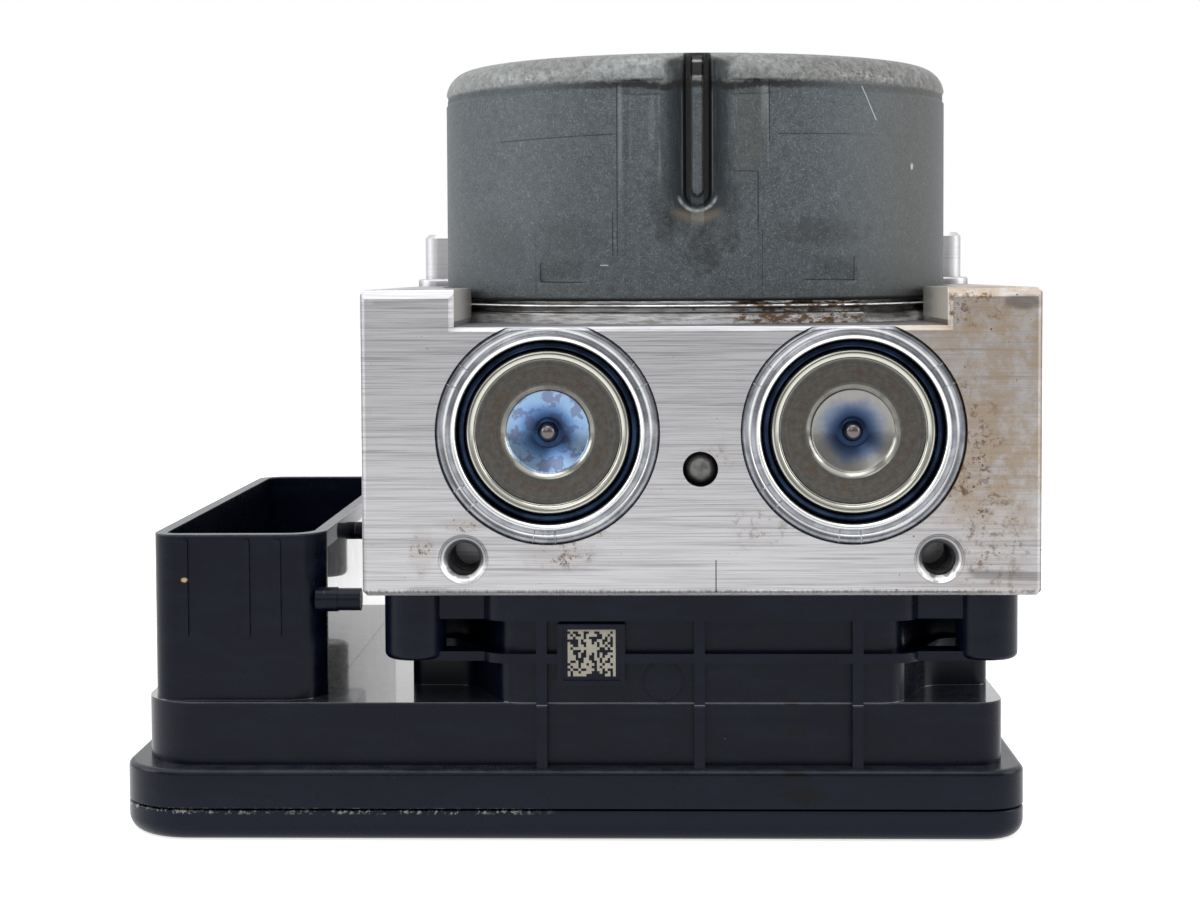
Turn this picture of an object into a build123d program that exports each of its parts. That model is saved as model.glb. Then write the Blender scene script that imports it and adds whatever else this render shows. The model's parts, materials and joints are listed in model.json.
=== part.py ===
from build123d import *
import math
import os

# Brake pressure control unit: a valve block with its pump motor on top and its control housing below.
# Millimetres. The origin lies on the base plane under the motor's axis, +X right, +Y to the back, +Z up.

# Valve block
block_width = 100.0
block_front = 55.0  # from the motor's axis to the front face
block_back = 50.0  # from the motor's axis to the back face
block_height = 45.2
block_edge = 0.7  # chamfer along the outer edges
seat_depth = 5.5  # how far the motor's seat lies below the block's top
notch_width = 72.4
front_top_edge = 1.3  # chamfer along the front face's top edge

# Raised corners behind the motor, with the two ports from the master cylinder
horn_width = 28.0
horn_depth = 22.0
horn_rise = 9.4
horn_inset = 1.2  # from the block's side
horn_corner = 2.5
horn_foot_height = 1.3
horn_foot_margin = 1.3  # how far the foot stands out all round
horn_foot_round = 0.5
master_spacing = 62.0
master_back = 41.0
master_radius = 5.45  # M12 x 1 tapped hole
master_depth = 16.0

# Four wheel ports in the back face, each in line with its pair of valves
wheel_ports = 4
wheel_pitch = 21.6
wheel_rise = 24.5  # heights called rise in the block are above its underside
wheel_radius = 4.5  # M10 x 1 tapped hole
wheel_depth = 14.0
duct_radius = 1.3
port_edge = 0.7

# Mounting threads in the front face
mount_spacing = 70.0
mount_rise = 5.4
mount_radius = 2.5  # M6 tapped hole
mount_depth = 15.0
mount_sink_radius = 3.55

# Pump motor
can_radius = 41.9
can_height = 37.95
can_wall = 2.0
can_shoulder = 4.2
flange_overhang = 0.5  # past the can
flange_thickness = 3.0
flange_chamfer = 0.4
flange_slot_turn = -43.0  # degrees
flange_slot_length = 12.6
flange_slot_height = 1.6
flange_slot_depth = 1.8
flange_slot_rise = 1.8  # from the seat to the slot's middle
flange_gap = 0.5  # dark joint between the flange plate and the can
flange_bore = 7.0
disc_height = 2.5  # of the disc that the can is pressed on
pocket_clearance = 0.4
hub_wall = 2.0
hub_length = 7.2
scoop_width = 10.8
scoop_depth = 2.0
scoop_length = 26.4
channel_width = 4.5
channel_depth = 1.3  # below the scoop's floor
channel_length = 23.9
fin_width = 1.9
fin_length = 21.2
tab_width = 8.6
tab_height = 4.4
tab_depth = 0.5
tab_rise = 2.9  # from the can's lower edge
tab_count = 6
magnet_thickness = 7.5
magnet_span = 116.0  # degrees
magnet_overhang = 2.0  # past each end of the core
air_gap = 0.7
core_height = 16.4
core_rise = 13.8  # from the can's lower edge to the core
slot_count = 12
slot_width = 4.2
slot_length = 12.0
slot_opening = 1.4
tooth_tip = 1.6
winding_overhang = 4.0
winding_bore = 12.0
winding_round = 1.3
commutator_radius = 8.5
commutator_height = 6.6
commutator_rise = 3.4  # from the can's lower edge
bar_gap = 0.5
bar_gap_depth = 1.6
shaft_radius = 4.0
shaft_chamfer = 0.5
shaft_end_gap = 0.5
running_gap = 0.03
bearing_radius = 11.0
bearing_height = 6.5
top_bearing_radius = 8.0
top_bearing_height = 5.0
bearing_cup_wall = 1.5
race_width = 1.4
shield_depth = 0.3
holder_gap = 1.9  # from the can's wall
holder_thickness = 2.0
holder_play = 0.8
brush_width = 5.0
brush_height = 4.0
brush_length = 9.0
brush_play = 0.1
guide_wall = 1.1
guide_start = 10.6
guide_length = 15.0
leaf_thickness = 0.4
leaf_folds = 5
contact_radius = 1.3
contact_play = 0.25
contact_inset = 8.0  # from the brush holder's rim
contact_hole_width = 4.0
contact_spacing = 3.4

# Pump: an eccentric on the motor's shaft drives two pistons
pump_rise = 24.5
chamber_radius = 15.0
chamber_rise = 14.5
eccentricity = 1.2
eccentric_radius = 6.0
ring_radius = 9.0
ring_height = 10.0
ring_side_gap = 0.5
shaft_nose = 2.0  # below the ring
tip_gap = 0.15  # between the ring's furthest reach and a piston's tip
piston_radius = 3.2
piston_length = 16.6
piston_chamfer = 0.3
pump_bore_radius = 6.45
barrel_start = 15.2  # from the motor's axis
barrel_length = 22.8
barrel_wall = 2.0
barrel_groove = 0.8
press_gap = 0.02
pump_mouth_radius = 8.5
pump_mouth_depth = 1.0
plug_edge = 0.6
plug_dish = 1.6
pump_wire = 0.36
pump_coils = 4
coil_end_gap = 0.04  # between a spring and what it bears on

# Low pressure accumulators in the front face
accumulator_spacing = 45.0
accumulator_rise = 24.1
accumulator_radius = 13.7
accumulator_depth = 24.0
face_ring_radius = 16.6
face_ring_depth = 0.6
cap_radius = 12.1
cap_roll = 1.2
cap_face_depth = 1.5
cap_thickness = 1.2
dish_radius = 6.9
dish_depth = 1.7
nub_radius = 1.4
nub_height = 0.8
clip_seat = 3.4  # depth at which the retaining ring bears on the cap
clip_thickness = 1.6
clip_round = 0.4
store_length = 8.0
store_gap = 0.06
store_end_gap = 0.3
store_wall = 2.4
seal_wire = 0.74
store_wire = 0.66
store_coils = 4
store_spring_radius = 8.0

# Ball plugs that close the drillings
ball_hole_radius = 2.6
ball_depth = 2.5  # from the face to the ball's centre
ball_rise = 18.7

# Valve cartridges in the underside, an inlet and an outlet for each wheel
valve_row = 18.0
valve_radius = 5.5
valve_depth = 12.0
valve_nose_radius = 4.4
valve_nose_length = 3.5
valve_clearance = 0.03
sleeve_radius = 3.4
sleeve_length = 14.5
sleeve_round = 1.0
coil_radius = 8.6
coil_height = 11.5
coil_gap = 0.1
coil_stand = 1.2  # from the block's underside to the coils
coil_flange = 1.0
coil_waist = 0.6

# Control housing
house_right_inset = 1.8  # in from the block's right side
house_front = 55.1
house_back = 51.0
cover_height = 4.7
cover_edge = 2.6
cover_plate = 2.2
cover_lip = 1.4
seam = 0.3
flange_height = 5.75
flange_round = 0.9  # along the flange's top edge
step_inset = 3.0
step_inset_front = 3.4
body_height = 9.5  # from the flange's top to the shelf
house_wall = 2.2
left_corner = 9.0
right_corner = 4.6
flange_corner_left = 10.5
flange_corner_right = 6.1
tower_inset = 5.3  # in from the block's sides
tower_height = 16.45  # from the shelf to the block's underside
tower_front = 52.1
tower_back = 47.5
tower_shoulder = 37.0  # where the front wall steps back beside the screw bosses
tower_front_half = 29.5
pocket_drop = 2.1  # from the shelf down to the floors between the ribs
shoulder_half = 35.0
tower_round = 4.5
tower_back_round = 17.0
rib_depth = 1.9
rib_width = 1.6
rib_places = (-23.6, -0.2, 23.2)
band_height = 3.9
rail_height = 1.4
rail_drop = 10.2  # from the tower's top to the rail's lower edge
pad_x = -16.2  # middle of the raised pad that the code plate stands on
pad_width = 10.1
pad_height = 9.2
pad_rise = 7.55  # from the shelf to the pad's middle
pad_round = 0.5
boss_radius = 4.6
boss_length = 10.0
boss_edge = 1.0
boss_inset = 7.25  # in from the block's sides
boss_front = 49.0
boss_back = 43.5
neck_width = 5.0
neck_length = 12.0
web_thickness = 3.0
screw_radius = 2.5
screw_length = 21.5
screw_head_radius = 4.0
screw_head_height = 3.0
screw_seat_rise = 14.5  # of the seat that the heads bear on
screw_play = 0.2
socket_radius = 1.8
socket_depth = 1.6
gasket_width = 1.0
gasket_depth = 0.9
gasket_inset = 0.6

# Connector shroud
plug_gap = 6.7  # from the block's left side to the shroud
plug_width = 25.8
plug_margin = 1.7  # from the shroud to the stepped body's left side
plug_front = 50.0
plug_back = 47.0
plug_height = 25.05
plug_wall = 1.85
plug_floor = 2.5
plug_corner_left = 3.6
plug_corner_right = 6.0
plug_corner_back = 4.5
plug_rib_depth = 0.45
plug_rib_width = 1.2
plug_rib_drop = 0.7
plug_rib_length = 14.9
plug_rib_round = 0.4
plug_rib_places = (5.0, 14.3, 19.0)  # from the shroud's left side
peg_radius = 1.85
peg_length = 5.5
peg_step = 0.15
peg_root = 1.3  # inside the shroud's wall
peg_foot = 2.0  # length of the wider step
peg_back = -47.0
peg_rise = 14.85  # above the shelf
small_peg_radius = 1.45
small_peg_length = 3.0
small_peg_back = -12.0
small_peg_rise = 21.3
pin_size = 0.64
blade_width = 4.8
blade_thickness = 0.8
pin_height = 12.0
pin_tail = 1.0
pin_rows = 3
pin_columns = 11
pin_pitch = 5.0
row_pitch = 5.5
blade_back = 34.0

# Circuit board
board_rise = 4.0  # above the flange's underside
board_thickness = 1.6
board_play = 0.6
post_radius = 2.6
post_inset = 5.8
chip_height = 1.6
chips = ((-8.0, 0.0, 14.0, 14.0), (14.0, 2.0, 10.0, 7.0), (-28.0, 2.0, 9.0, 9.0), (30.0, 1.0, 7.0, 5.0))
capacitor_radius = 5.0
capacitor_height = 9.0
capacitors = ((-14.0, 38.0), (14.0, 38.0))
lead_radius = 0.4
lead_offset = 5.0

# Worked out from the sizes above: first the stack from the bench upwards
flange_base = cover_height + seam
flange_top = flange_base + flange_height
shelf_z = flange_top + body_height
ceiling = shelf_z - house_wall
board_z = flange_base + board_rise
board_top = board_z + board_thickness
tower_foot = shelf_z - pocket_drop
block_base = shelf_z + tower_height
block_top = block_base + block_height
seat_z = block_top - seat_depth
pump_z = block_base + pump_rise
wheel_z = block_base + wheel_rise
ball_z = block_base + ball_rise
mount_z = block_base + mount_rise
accumulator_z = block_base + accumulator_rise
screw_seat = block_base + screw_seat_rise
flange_radius = can_radius + flange_overhang
pocket_radius = flange_radius + pocket_clearance
hub_radius = bearing_radius + hub_wall
can_base = seat_z + flange_thickness + flange_gap
can_top = can_base + can_height
disc_top = can_base - flange_gap + disc_height
can_inner = can_radius - can_wall
holder_radius = can_inner - holder_gap
contact_back = holder_radius - contact_inset
scoop_back = scoop_depth + channel_depth + can_wall / 2
magnet_inner = can_inner - magnet_thickness
core_radius = magnet_inner - air_gap
core_base = can_base + core_rise
brush_z = disc_top + holder_thickness
ring_base = pump_z - ring_height / 2
piston_start = ring_radius + eccentricity + tip_gap
plug_face = block_width / 2 - pump_mouth_depth
horn_x = block_width / 2 - horn_inset - horn_width / 2
horn_y = block_back - block_edge - horn_foot_margin - horn_depth / 2
horns = [(-horn_x, horn_y), (horn_x, horn_y)]
ports = [(i - (wheel_ports - 1) / 2) * wheel_pitch for i in range(wheel_ports)]
contacts = [(side * contact_spacing / 2, contact_back) for side in (-1, 1)]
boss_x = block_width / 2 - boss_inset
bosses = [(side * boss_x, y) for side in (-1, 1) for y in (-boss_front, boss_back)]
valves = [(x, y) for y in (-valve_row, valve_row) for x in ports]
ball_radius = ball_hole_radius - press_gap
ball_hole_depth = ball_depth + math.sqrt(ball_radius**2 - duct_radius**2)  # the ball bears on the duct
ball_duct_length = block_front - chamber_radius + duct_radius  # breaks into the pump's chamber
coil_base = block_base - coil_stand - coil_height
plug_right = block_width / 2 + plug_gap
plug_left = plug_right + plug_width
step_left = plug_left + plug_margin
house_left = step_left + step_inset
house_right = block_width / 2 - house_right_inset
step_right = house_right - step_inset
tower_half = block_width / 2 - tower_inset
step_front = house_front - step_inset_front
step_back = house_back - step_inset
plug_x = -(plug_left + plug_right) / 2
plug_y = (plug_back - plug_front) / 2
plug_floor_top = ceiling + plug_floor
rim_z = shelf_z + plug_height
plug_rib_z = rim_z - plug_rib_drop - plug_rib_length / 2
screw_tip = screw_seat - screw_length
pin_top = plug_floor_top + pin_height
pin_base = board_z - pin_tail
pin_xs = [plug_x + (i - (pin_rows - 1) / 2) * row_pitch for i in range(pin_rows)]
pin_ys = [plug_y + (j - (pin_columns - 1) / 2) * pin_pitch for j in range(pin_columns)]
pins = [(x, y) for x in pin_xs for y in pin_ys]
blades = [(plug_x + side * row_pitch, plug_y + end * blade_back) for side in (-1, 1) for end in (-1, 1)]
posts = [
    (post_inset - step_left, post_inset - step_front),
    (post_inset - step_left, step_back - post_inset),
    (step_right - post_inset, post_inset - step_front),
]

os.makedirs("parts", exist_ok=True)


def front_plane(x, z):
    """A plane on the block's front face, its normal towards the viewer."""
    return Plane(origin=(x, -block_front, z), x_dir=(1, 0, 0), z_dir=(0, -1, 0))


def side_plane(side, y, z):
    """A plane on the block's left (-1) or right (1) face, its normal outwards."""
    return Plane(origin=(side * block_width / 2, y, z), x_dir=(0, side, 0), z_dir=(side, 0, 0))


def back_plane(x, z):
    """A plane on the block's back face, its normal to the back."""
    return Plane(origin=(x, block_back, z), x_dir=(-1, 0, 0), z_dir=(0, 1, 0))


def radial_plane(turn, z):
    """An upright plane through the motor's axis, its x direction outwards at this turn in degrees."""
    out = Vector(1, 0, 0).rotate(Axis.Z, turn)
    return Plane(origin=(0, 0, z), x_dir=out, z_dir=out.rotate(Axis.Z, -90))


def rounded_plan(left, right, front, back, radii):
    """Points and corner radii of a rectangle, from its front left corner round to its back left one."""
    corners = [(-left, -front), (right, -front), (right, back), (-left, back)]
    return FilletPolyline(*corners, radius=radii, close=True)


# Valve block: a milled aluminium extrusion with all its bores
with BuildPart() as hydraulic_block:
    with BuildSketch(Plane.XY.offset(block_base)):
        with Locations((0, (block_back - block_front) / 2)):
            Rectangle(block_width, block_front + block_back)
    extrude(amount=block_height)
    front_edge = hydraulic_block.edges().group_by(Axis.Z)[-1].sort_by(Axis.Y)[0]
    chamfer(hydraulic_block.edges().filter_by(lambda edge: edge != front_edge), block_edge)
    chamfer(hydraulic_block.edges().group_by(Axis.Z)[-1].sort_by(Axis.Y)[0], front_top_edge)
    # The two raised corners
    with BuildSketch(Plane.XY.offset(block_top - block_edge)):
        with Locations(*horns):
            RectangleRounded(
                horn_width + 2 * horn_foot_margin,
                horn_depth + 2 * horn_foot_margin,
                horn_corner + horn_foot_margin,
            )
    extrude(amount=block_edge + horn_foot_height)
    fillet(hydraulic_block.faces().sort_by(Axis.Z)[-2:].edges(), horn_foot_round)
    with BuildSketch(Plane.XY.offset(block_top + horn_foot_height)):
        with Locations(*horns):
            RectangleRounded(horn_width, horn_depth, horn_corner)
    extrude(amount=horn_rise - horn_foot_height)
    chamfer(hydraulic_block.faces().sort_by(Axis.Z)[-2:].edges(), block_edge)
    # The round seat of the motor and the notch in front of it
    with BuildSketch(Plane.XY.offset(seat_z)):
        Circle(pocket_radius)
        with Locations((0, -block_front / 2)):
            Rectangle(notch_width, block_front)
    extrude(amount=seat_depth + horn_rise, mode=Mode.SUBTRACT)
    notch_rim = hydraulic_block.faces().filter_by(Plane.XZ).sort_by(Axis.Y)[0].edges().filter_by_position(
        Axis.X, -notch_width / 2 - block_edge, notch_width / 2 + block_edge
    ).filter_by_position(Axis.Z, seat_z - block_edge, block_top)
    chamfer(notch_rim, block_edge)
    # The pump's chamber and the hole for the motor's contacts
    with Locations(Plane.XY.offset(seat_z)):
        Hole(chamber_radius, seat_z - block_base - chamber_rise)
    with BuildSketch(Plane.XY.offset(block_base)):
        with Locations((0, contact_back)):
            SlotOverall(contact_spacing + contact_hole_width, contact_hole_width)
    extrude(amount=block_height, mode=Mode.SUBTRACT)
    # Pump bores and accumulator bores
    for side in (-1, 1):
        with Locations(side_plane(side, 0, pump_z)):
            CounterBoreHole(pump_bore_radius, pump_mouth_radius, pump_mouth_depth, block_width / 2)
        with Locations(front_plane(side * accumulator_spacing / 2, accumulator_z)):
            CounterBoreHole(accumulator_radius, face_ring_radius, face_ring_depth, accumulator_depth)
        with Locations(front_plane(side * mount_spacing / 2, mount_z)):
            CounterSinkHole(mount_radius, mount_sink_radius, mount_depth, 90)
    # Valve bores, each with a duct: inlets to the wheel ports, outlets to the accumulators
    for x, y in valves:
        duct_length = wheel_rise if y > 0 else ball_rise
        with Locations(Plane(origin=(x, y, block_base), z_dir=(0, 0, -1))):
            Hole(valve_radius, valve_depth)
            Hole(duct_radius, duct_length)
    for x in ports:
        with Locations(back_plane(x, wheel_z)):
            CounterSinkHole(wheel_radius, wheel_radius + port_edge, wheel_depth, 90)
            Hole(duct_radius, block_back - valve_row)
        with Locations(front_plane(x, ball_z).offset(-accumulator_depth)):
            Hole(duct_radius, block_front - valve_row - accumulator_depth)
    with Locations(Plane.XY.offset(block_top + horn_rise)):
        with Locations((-master_spacing / 2, master_back), (master_spacing / 2, master_back)):
            CounterSinkHole(master_radius, master_radius + port_edge, master_depth, 90)
    # Drillings that ball plugs close
    with Locations(front_plane(0, ball_z)):
        CounterBoreHole(duct_radius, ball_hole_radius, ball_hole_depth, ball_duct_length)
    for side in (-1, 1):
        for y, z in ((-valve_row, ball_z), (valve_row, wheel_z)):
            with Locations(side_plane(side, y, z)):
                CounterBoreHole(duct_radius, ball_hole_radius, ball_hole_depth, block_width / 2 - ports[-1])
    # Holes for the housing's screws, entered from above
    with Locations(Plane.XY.offset(block_top + horn_rise)):
        with Locations(*bosses):
            CounterBoreHole(
                screw_radius + screw_play,
                screw_head_radius + screw_play,
                block_top + horn_rise - screw_seat,
                horn_rise + block_height,
            )
hydraulic_block.part.label = "hydraulic_block"
export_step(hydraulic_block.part, "parts/hydraulic_block.step")

# Motor flange: the steel end plate, with the disc that the can is pressed on and the lower bearing's hub
with BuildPart() as motor_flange:
    with BuildSketch(Plane.XY.offset(seat_z)):
        Circle(flange_radius)
    extrude(amount=flange_thickness)
    chamfer(motor_flange.faces().sort_by(Axis.Z)[-1].edges(), flange_chamfer)
    with BuildSketch(Plane.XY.offset(seat_z)):
        Circle(can_inner)
    extrude(amount=disc_top - seat_z)
    with BuildSketch(Plane.XY.offset(seat_z)):
        Circle(hub_radius)
    extrude(amount=-hub_length)
    with Locations(Plane(origin=(0, 0, seat_z - hub_length), z_dir=(0, 0, -1))):
        CounterBoreHole(flange_bore, bearing_radius, bearing_height, disc_top - seat_z + hub_length)
    with Locations(Plane.XY.offset(disc_top)):
        with Locations(*contacts):
            Hole(contact_radius + contact_play, disc_top - seat_z)
    # A shallow slot in the plate's edge
    with BuildSketch(radial_plane(flange_slot_turn, seat_z + flange_slot_rise)):
        with Locations((flange_radius, 0)):
            Rectangle(2 * flange_slot_depth, flange_slot_height)
    extrude(amount=flange_slot_length / 2, both=True, mode=Mode.SUBTRACT)
motor_flange.part.label = "motor_flange"
export_step(motor_flange.part, "parts/motor_flange.step")

# Motor can: a deep drawn steel cup with a pressed scoop at the front and six crimped tabs
shoulder_centre = (can_radius - can_shoulder, can_top - can_shoulder)
with BuildPart() as motor_can:
    with BuildSketch(Plane.XZ):
        with BuildLine():
            Line((0, can_top), (shoulder_centre[0], can_top))
            CenterArc(shoulder_centre, can_shoulder, 0, 90)
            Polyline(
                (can_radius, shoulder_centre[1]),
                (can_radius, can_base),
                (can_inner, can_base),
                (can_inner, shoulder_centre[1]),
            )
            CenterArc(shoulder_centre, can_shoulder - can_wall, 0, 90)
            Polyline((shoulder_centre[0], can_top - can_wall), (0, can_top - can_wall), (0, can_top))
        make_face()
    revolve(axis=Axis.Z)
    # The cup of the upper bearing
    with BuildSketch(Plane.XY.offset(can_top - can_wall)):
        Circle(top_bearing_radius + bearing_cup_wall)
        Circle(top_bearing_radius, mode=Mode.SUBTRACT)
    extrude(amount=-top_bearing_height)
    # The wall pressed inwards behind the scoop
    with BuildSketch(Plane.XY.offset(can_top - can_wall)):
        with Locations((0, -can_radius)):
            Rectangle(scoop_width + 2 * can_wall, 2 * scoop_back)
        Circle(shoulder_centre[0] + can_shoulder / 2, mode=Mode.INTERSECT)
    extrude(amount=can_wall - scoop_length)
    # The scoop, the deeper channel in it and the fin that the channel leaves standing
    with BuildSketch(Plane.XZ.offset(can_radius)):
        with Locations((0, can_top)):
            Rectangle(scoop_width, 2 * (scoop_length - scoop_width / 2))
        with Locations((0, can_top - scoop_length + scoop_width / 2)):
            Circle(scoop_width / 2)
    extrude(amount=-scoop_depth, mode=Mode.SUBTRACT)
    with BuildSketch(Plane.XZ.offset(can_radius - scoop_depth)):
        with Locations((0, can_top)):
            Rectangle(channel_width, 2 * (channel_length - channel_width / 2))
        with Locations((0, can_top - channel_length + channel_width / 2)):
            Circle(channel_width / 2)
        with Locations((0, can_top)):
            Rectangle(fin_width, 2 * (fin_length - fin_width / 2), mode=Mode.SUBTRACT)
        with Locations((0, can_top - fin_length + fin_width / 2)):
            Circle(fin_width / 2, mode=Mode.SUBTRACT)
    extrude(amount=-channel_depth, mode=Mode.SUBTRACT)
    # Crimped tabs: shallow pockets that run out upwards
    for i in range(tab_count):
        with BuildSketch(radial_plane(360 / tab_count * i, can_base + tab_rise)):
            Polygon(
                (can_radius + tab_depth, 0),
                (can_radius - tab_depth, 0),
                (can_radius, tab_height),
                (can_radius + tab_depth, tab_height),
                align=None,
            )
        extrude(amount=tab_width / 2, both=True, mode=Mode.SUBTRACT)
motor_can.part.label = "motor_can"
export_step(motor_can.part, "parts/motor_can.step")

# Magnets, glued to the can's wall on both sides
for middle, name in ((180, "left"), (0, "right")):
    with BuildPart() as magnet:
        with BuildSketch(radial_plane(middle - magnet_span / 2, core_base + core_height / 2)):
            with Locations(((magnet_inner + can_inner) / 2, 0)):
                Rectangle(magnet_thickness, core_height + 2 * magnet_overhang)
        revolve(axis=Axis.Z, revolution_arc=magnet_span)
    magnet.part.label = f"magnet_{name}"
    export_step(magnet.part, f"parts/magnet_{name}.step")

# Armature: a slotted core, its windings, the commutator and the shaft with the eccentric
with BuildPart() as armature_core:
    with BuildSketch(Plane.XY.offset(core_base)):
        Circle(core_radius)
        Circle(shaft_radius, mode=Mode.SUBTRACT)
        with PolarLocations(core_radius - tooth_tip - slot_length / 2, slot_count):
            Rectangle(slot_length, slot_width, mode=Mode.SUBTRACT)
        with PolarLocations(core_radius, slot_count):
            Rectangle(4 * tooth_tip, slot_opening, mode=Mode.SUBTRACT)
    extrude(amount=core_height)
armature_core.part.label = "armature_core"
export_step(armature_core.part, "parts/armature_core.step")

winding_radius = core_radius - tooth_tip
with BuildPart() as armature_windings:
    with BuildSketch(Plane.XZ):
        for z in (core_base - winding_overhang / 2, core_base + core_height + winding_overhang / 2):
            with Locations(((winding_bore + winding_radius) / 2, z)):
                RectangleRounded(winding_radius - winding_bore, winding_overhang, winding_round)
    revolve(axis=Axis.Z)
    with BuildSketch(Plane.XY.offset(core_base - winding_overhang / 2)):
        with PolarLocations(winding_radius - slot_length / 2, slot_count):
            Rectangle(slot_length - winding_overhang, slot_width)
    extrude(amount=core_height + winding_overhang)
armature_windings.part.label = "armature_windings"
export_step(armature_windings.part, "parts/armature_windings.step")

with BuildPart() as commutator:
    with BuildSketch(Plane.XY.offset(can_base + commutator_rise)):
        Circle(commutator_radius)
        Circle(shaft_radius, mode=Mode.SUBTRACT)
        with PolarLocations(commutator_radius, slot_count):
            Rectangle(bar_gap_depth, bar_gap, mode=Mode.SUBTRACT)
    extrude(amount=commutator_height)
commutator.part.label = "commutator"
export_step(commutator.part, "parts/commutator.step")

with BuildPart() as motor_shaft:
    with BuildSketch(Plane.XY.offset(ring_base - ring_side_gap)):
        with Locations((0, eccentricity)):
            Circle(eccentric_radius)
    extrude(amount=ring_height + 2 * ring_side_gap)
    with BuildSketch(Plane.XY.offset(ring_base - shaft_nose)):
        Circle(shaft_radius)
    extrude(amount=can_top - can_wall - shaft_end_gap - ring_base + shaft_nose)
    chamfer(motor_shaft.faces().sort_by(Axis.Z)[-1].edges(), shaft_chamfer)
    chamfer(motor_shaft.faces().sort_by(Axis.Z)[0].edges(), shaft_chamfer)
motor_shaft.part.label = "motor_shaft"
export_step(motor_shaft.part, "parts/motor_shaft.step")

# Bearings of the shaft, each a closed ring with shields set back at both ends
bearing_seats = (
    ("lower_bearing", bearing_radius, seat_z - hub_length, bearing_height),
    ("upper_bearing", top_bearing_radius, can_top - can_wall - top_bearing_height, top_bearing_height),
)
for name, radius, low, height in bearing_seats:
    with BuildPart() as bearing:
        with BuildSketch(Plane.XY.offset(low)):
            Circle(radius)
            Circle(shaft_radius + running_gap, mode=Mode.SUBTRACT)
        extrude(amount=height)
        for end, inward in ((low, 1), (low + height, -1)):
            with BuildSketch(Plane.XY.offset(end)):
                Circle(radius - race_width)
                Circle(shaft_radius + race_width, mode=Mode.SUBTRACT)
            extrude(amount=inward * shield_depth, mode=Mode.SUBTRACT)
    bearing.part.label = name
    export_step(bearing.part, f"parts/{name}.step")

# Needle ring on the eccentric: it orbits with the shaft and doesn't turn
with BuildPart() as eccentric_ring:
    with BuildSketch(Plane.XY.offset(ring_base)):
        with Locations((0, eccentricity)):
            Circle(ring_radius)
            Circle(eccentric_radius + running_gap, mode=Mode.SUBTRACT)
    extrude(amount=ring_height)
eccentric_ring.part.label = "eccentric_ring"
export_step(eccentric_ring.part, "parts/eccentric_ring.step")

# Brush gear: a moulded plate with two guides, the brushes, their springs and the two contact rods
with BuildPart() as brush_holder:
    with BuildSketch(Plane.XY.offset(disc_top)):
        Circle(holder_radius)
        Circle(commutator_radius + holder_play, mode=Mode.SUBTRACT)
    extrude(amount=holder_thickness)
    for side in (-1, 1):
        with BuildSketch(Plane.XY.offset(brush_z)):
            with Locations((side * (guide_start + guide_length / 2), 0)):
                Rectangle(guide_length, brush_width + 2 * brush_play + 2 * guide_wall)
        extrude(amount=brush_height + brush_play + guide_wall)
        with BuildSketch(Plane.XY.offset(brush_z)):
            with Locations((side * (guide_start + (guide_length - guide_wall) / 2), 0)):
                Rectangle(guide_length - guide_wall, brush_width + 2 * brush_play)
        extrude(amount=brush_height + brush_play, mode=Mode.SUBTRACT)
brush_holder.part.label = "brush_holder"
export_step(brush_holder.part, "parts/brush_holder.step")

brush_start = commutator_radius + brush_play
spring_near = brush_start + brush_length
spring_far = guide_start + guide_length - guide_wall
fold_step = (spring_far - spring_near - leaf_thickness) / leaf_folds
folds = [spring_near + i * fold_step for i in range(leaf_folds + 1)]
for side, name in ((-1, "left"), (1, "right")):
    with BuildPart() as brush:
        with BuildSketch(Plane.XY.offset(brush_z)):
            with Locations((side * (brush_start + brush_length / 2), 0)):
                Rectangle(brush_length, brush_width)
        extrude(amount=brush_height)
        chamfer(brush.edges().filter_by(Axis.X), brush_play)
    brush.part.label = f"brush_{name}"
    export_step(brush.part, f"parts/brush_{name}.step")

    # A leaf folded to and fro between the brush and the guide's end wall
    with BuildPart() as brush_spring:
        with BuildSketch(Plane.XY.offset(brush_z + brush_height / 4)):
            with Locations(*[(side * (fold + leaf_thickness / 2), 0) for fold in folds]):
                Rectangle(leaf_thickness, brush_width - leaf_thickness)
            for i, fold in enumerate(folds[:-1]):
                turn_y = (-1) ** i * (brush_width / 2 - leaf_thickness)
                with Locations((side * (fold + fold_step / 2), turn_y)):
                    Rectangle(fold_step, leaf_thickness)
        extrude(amount=brush_height / 2)
    brush_spring.part.label = f"brush_spring_{name}"
    export_step(brush_spring.part, f"parts/brush_spring_{name}.step")

with BuildPart() as motor_contacts:
    with BuildSketch(Plane.XY.offset(board_top)):
        with Locations(*contacts):
            Circle(contact_radius)
    extrude(amount=disc_top - board_top)
motor_contacts.part.label = "motor_contacts"
export_step(motor_contacts.part, "parts/motor_contacts.step")

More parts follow.
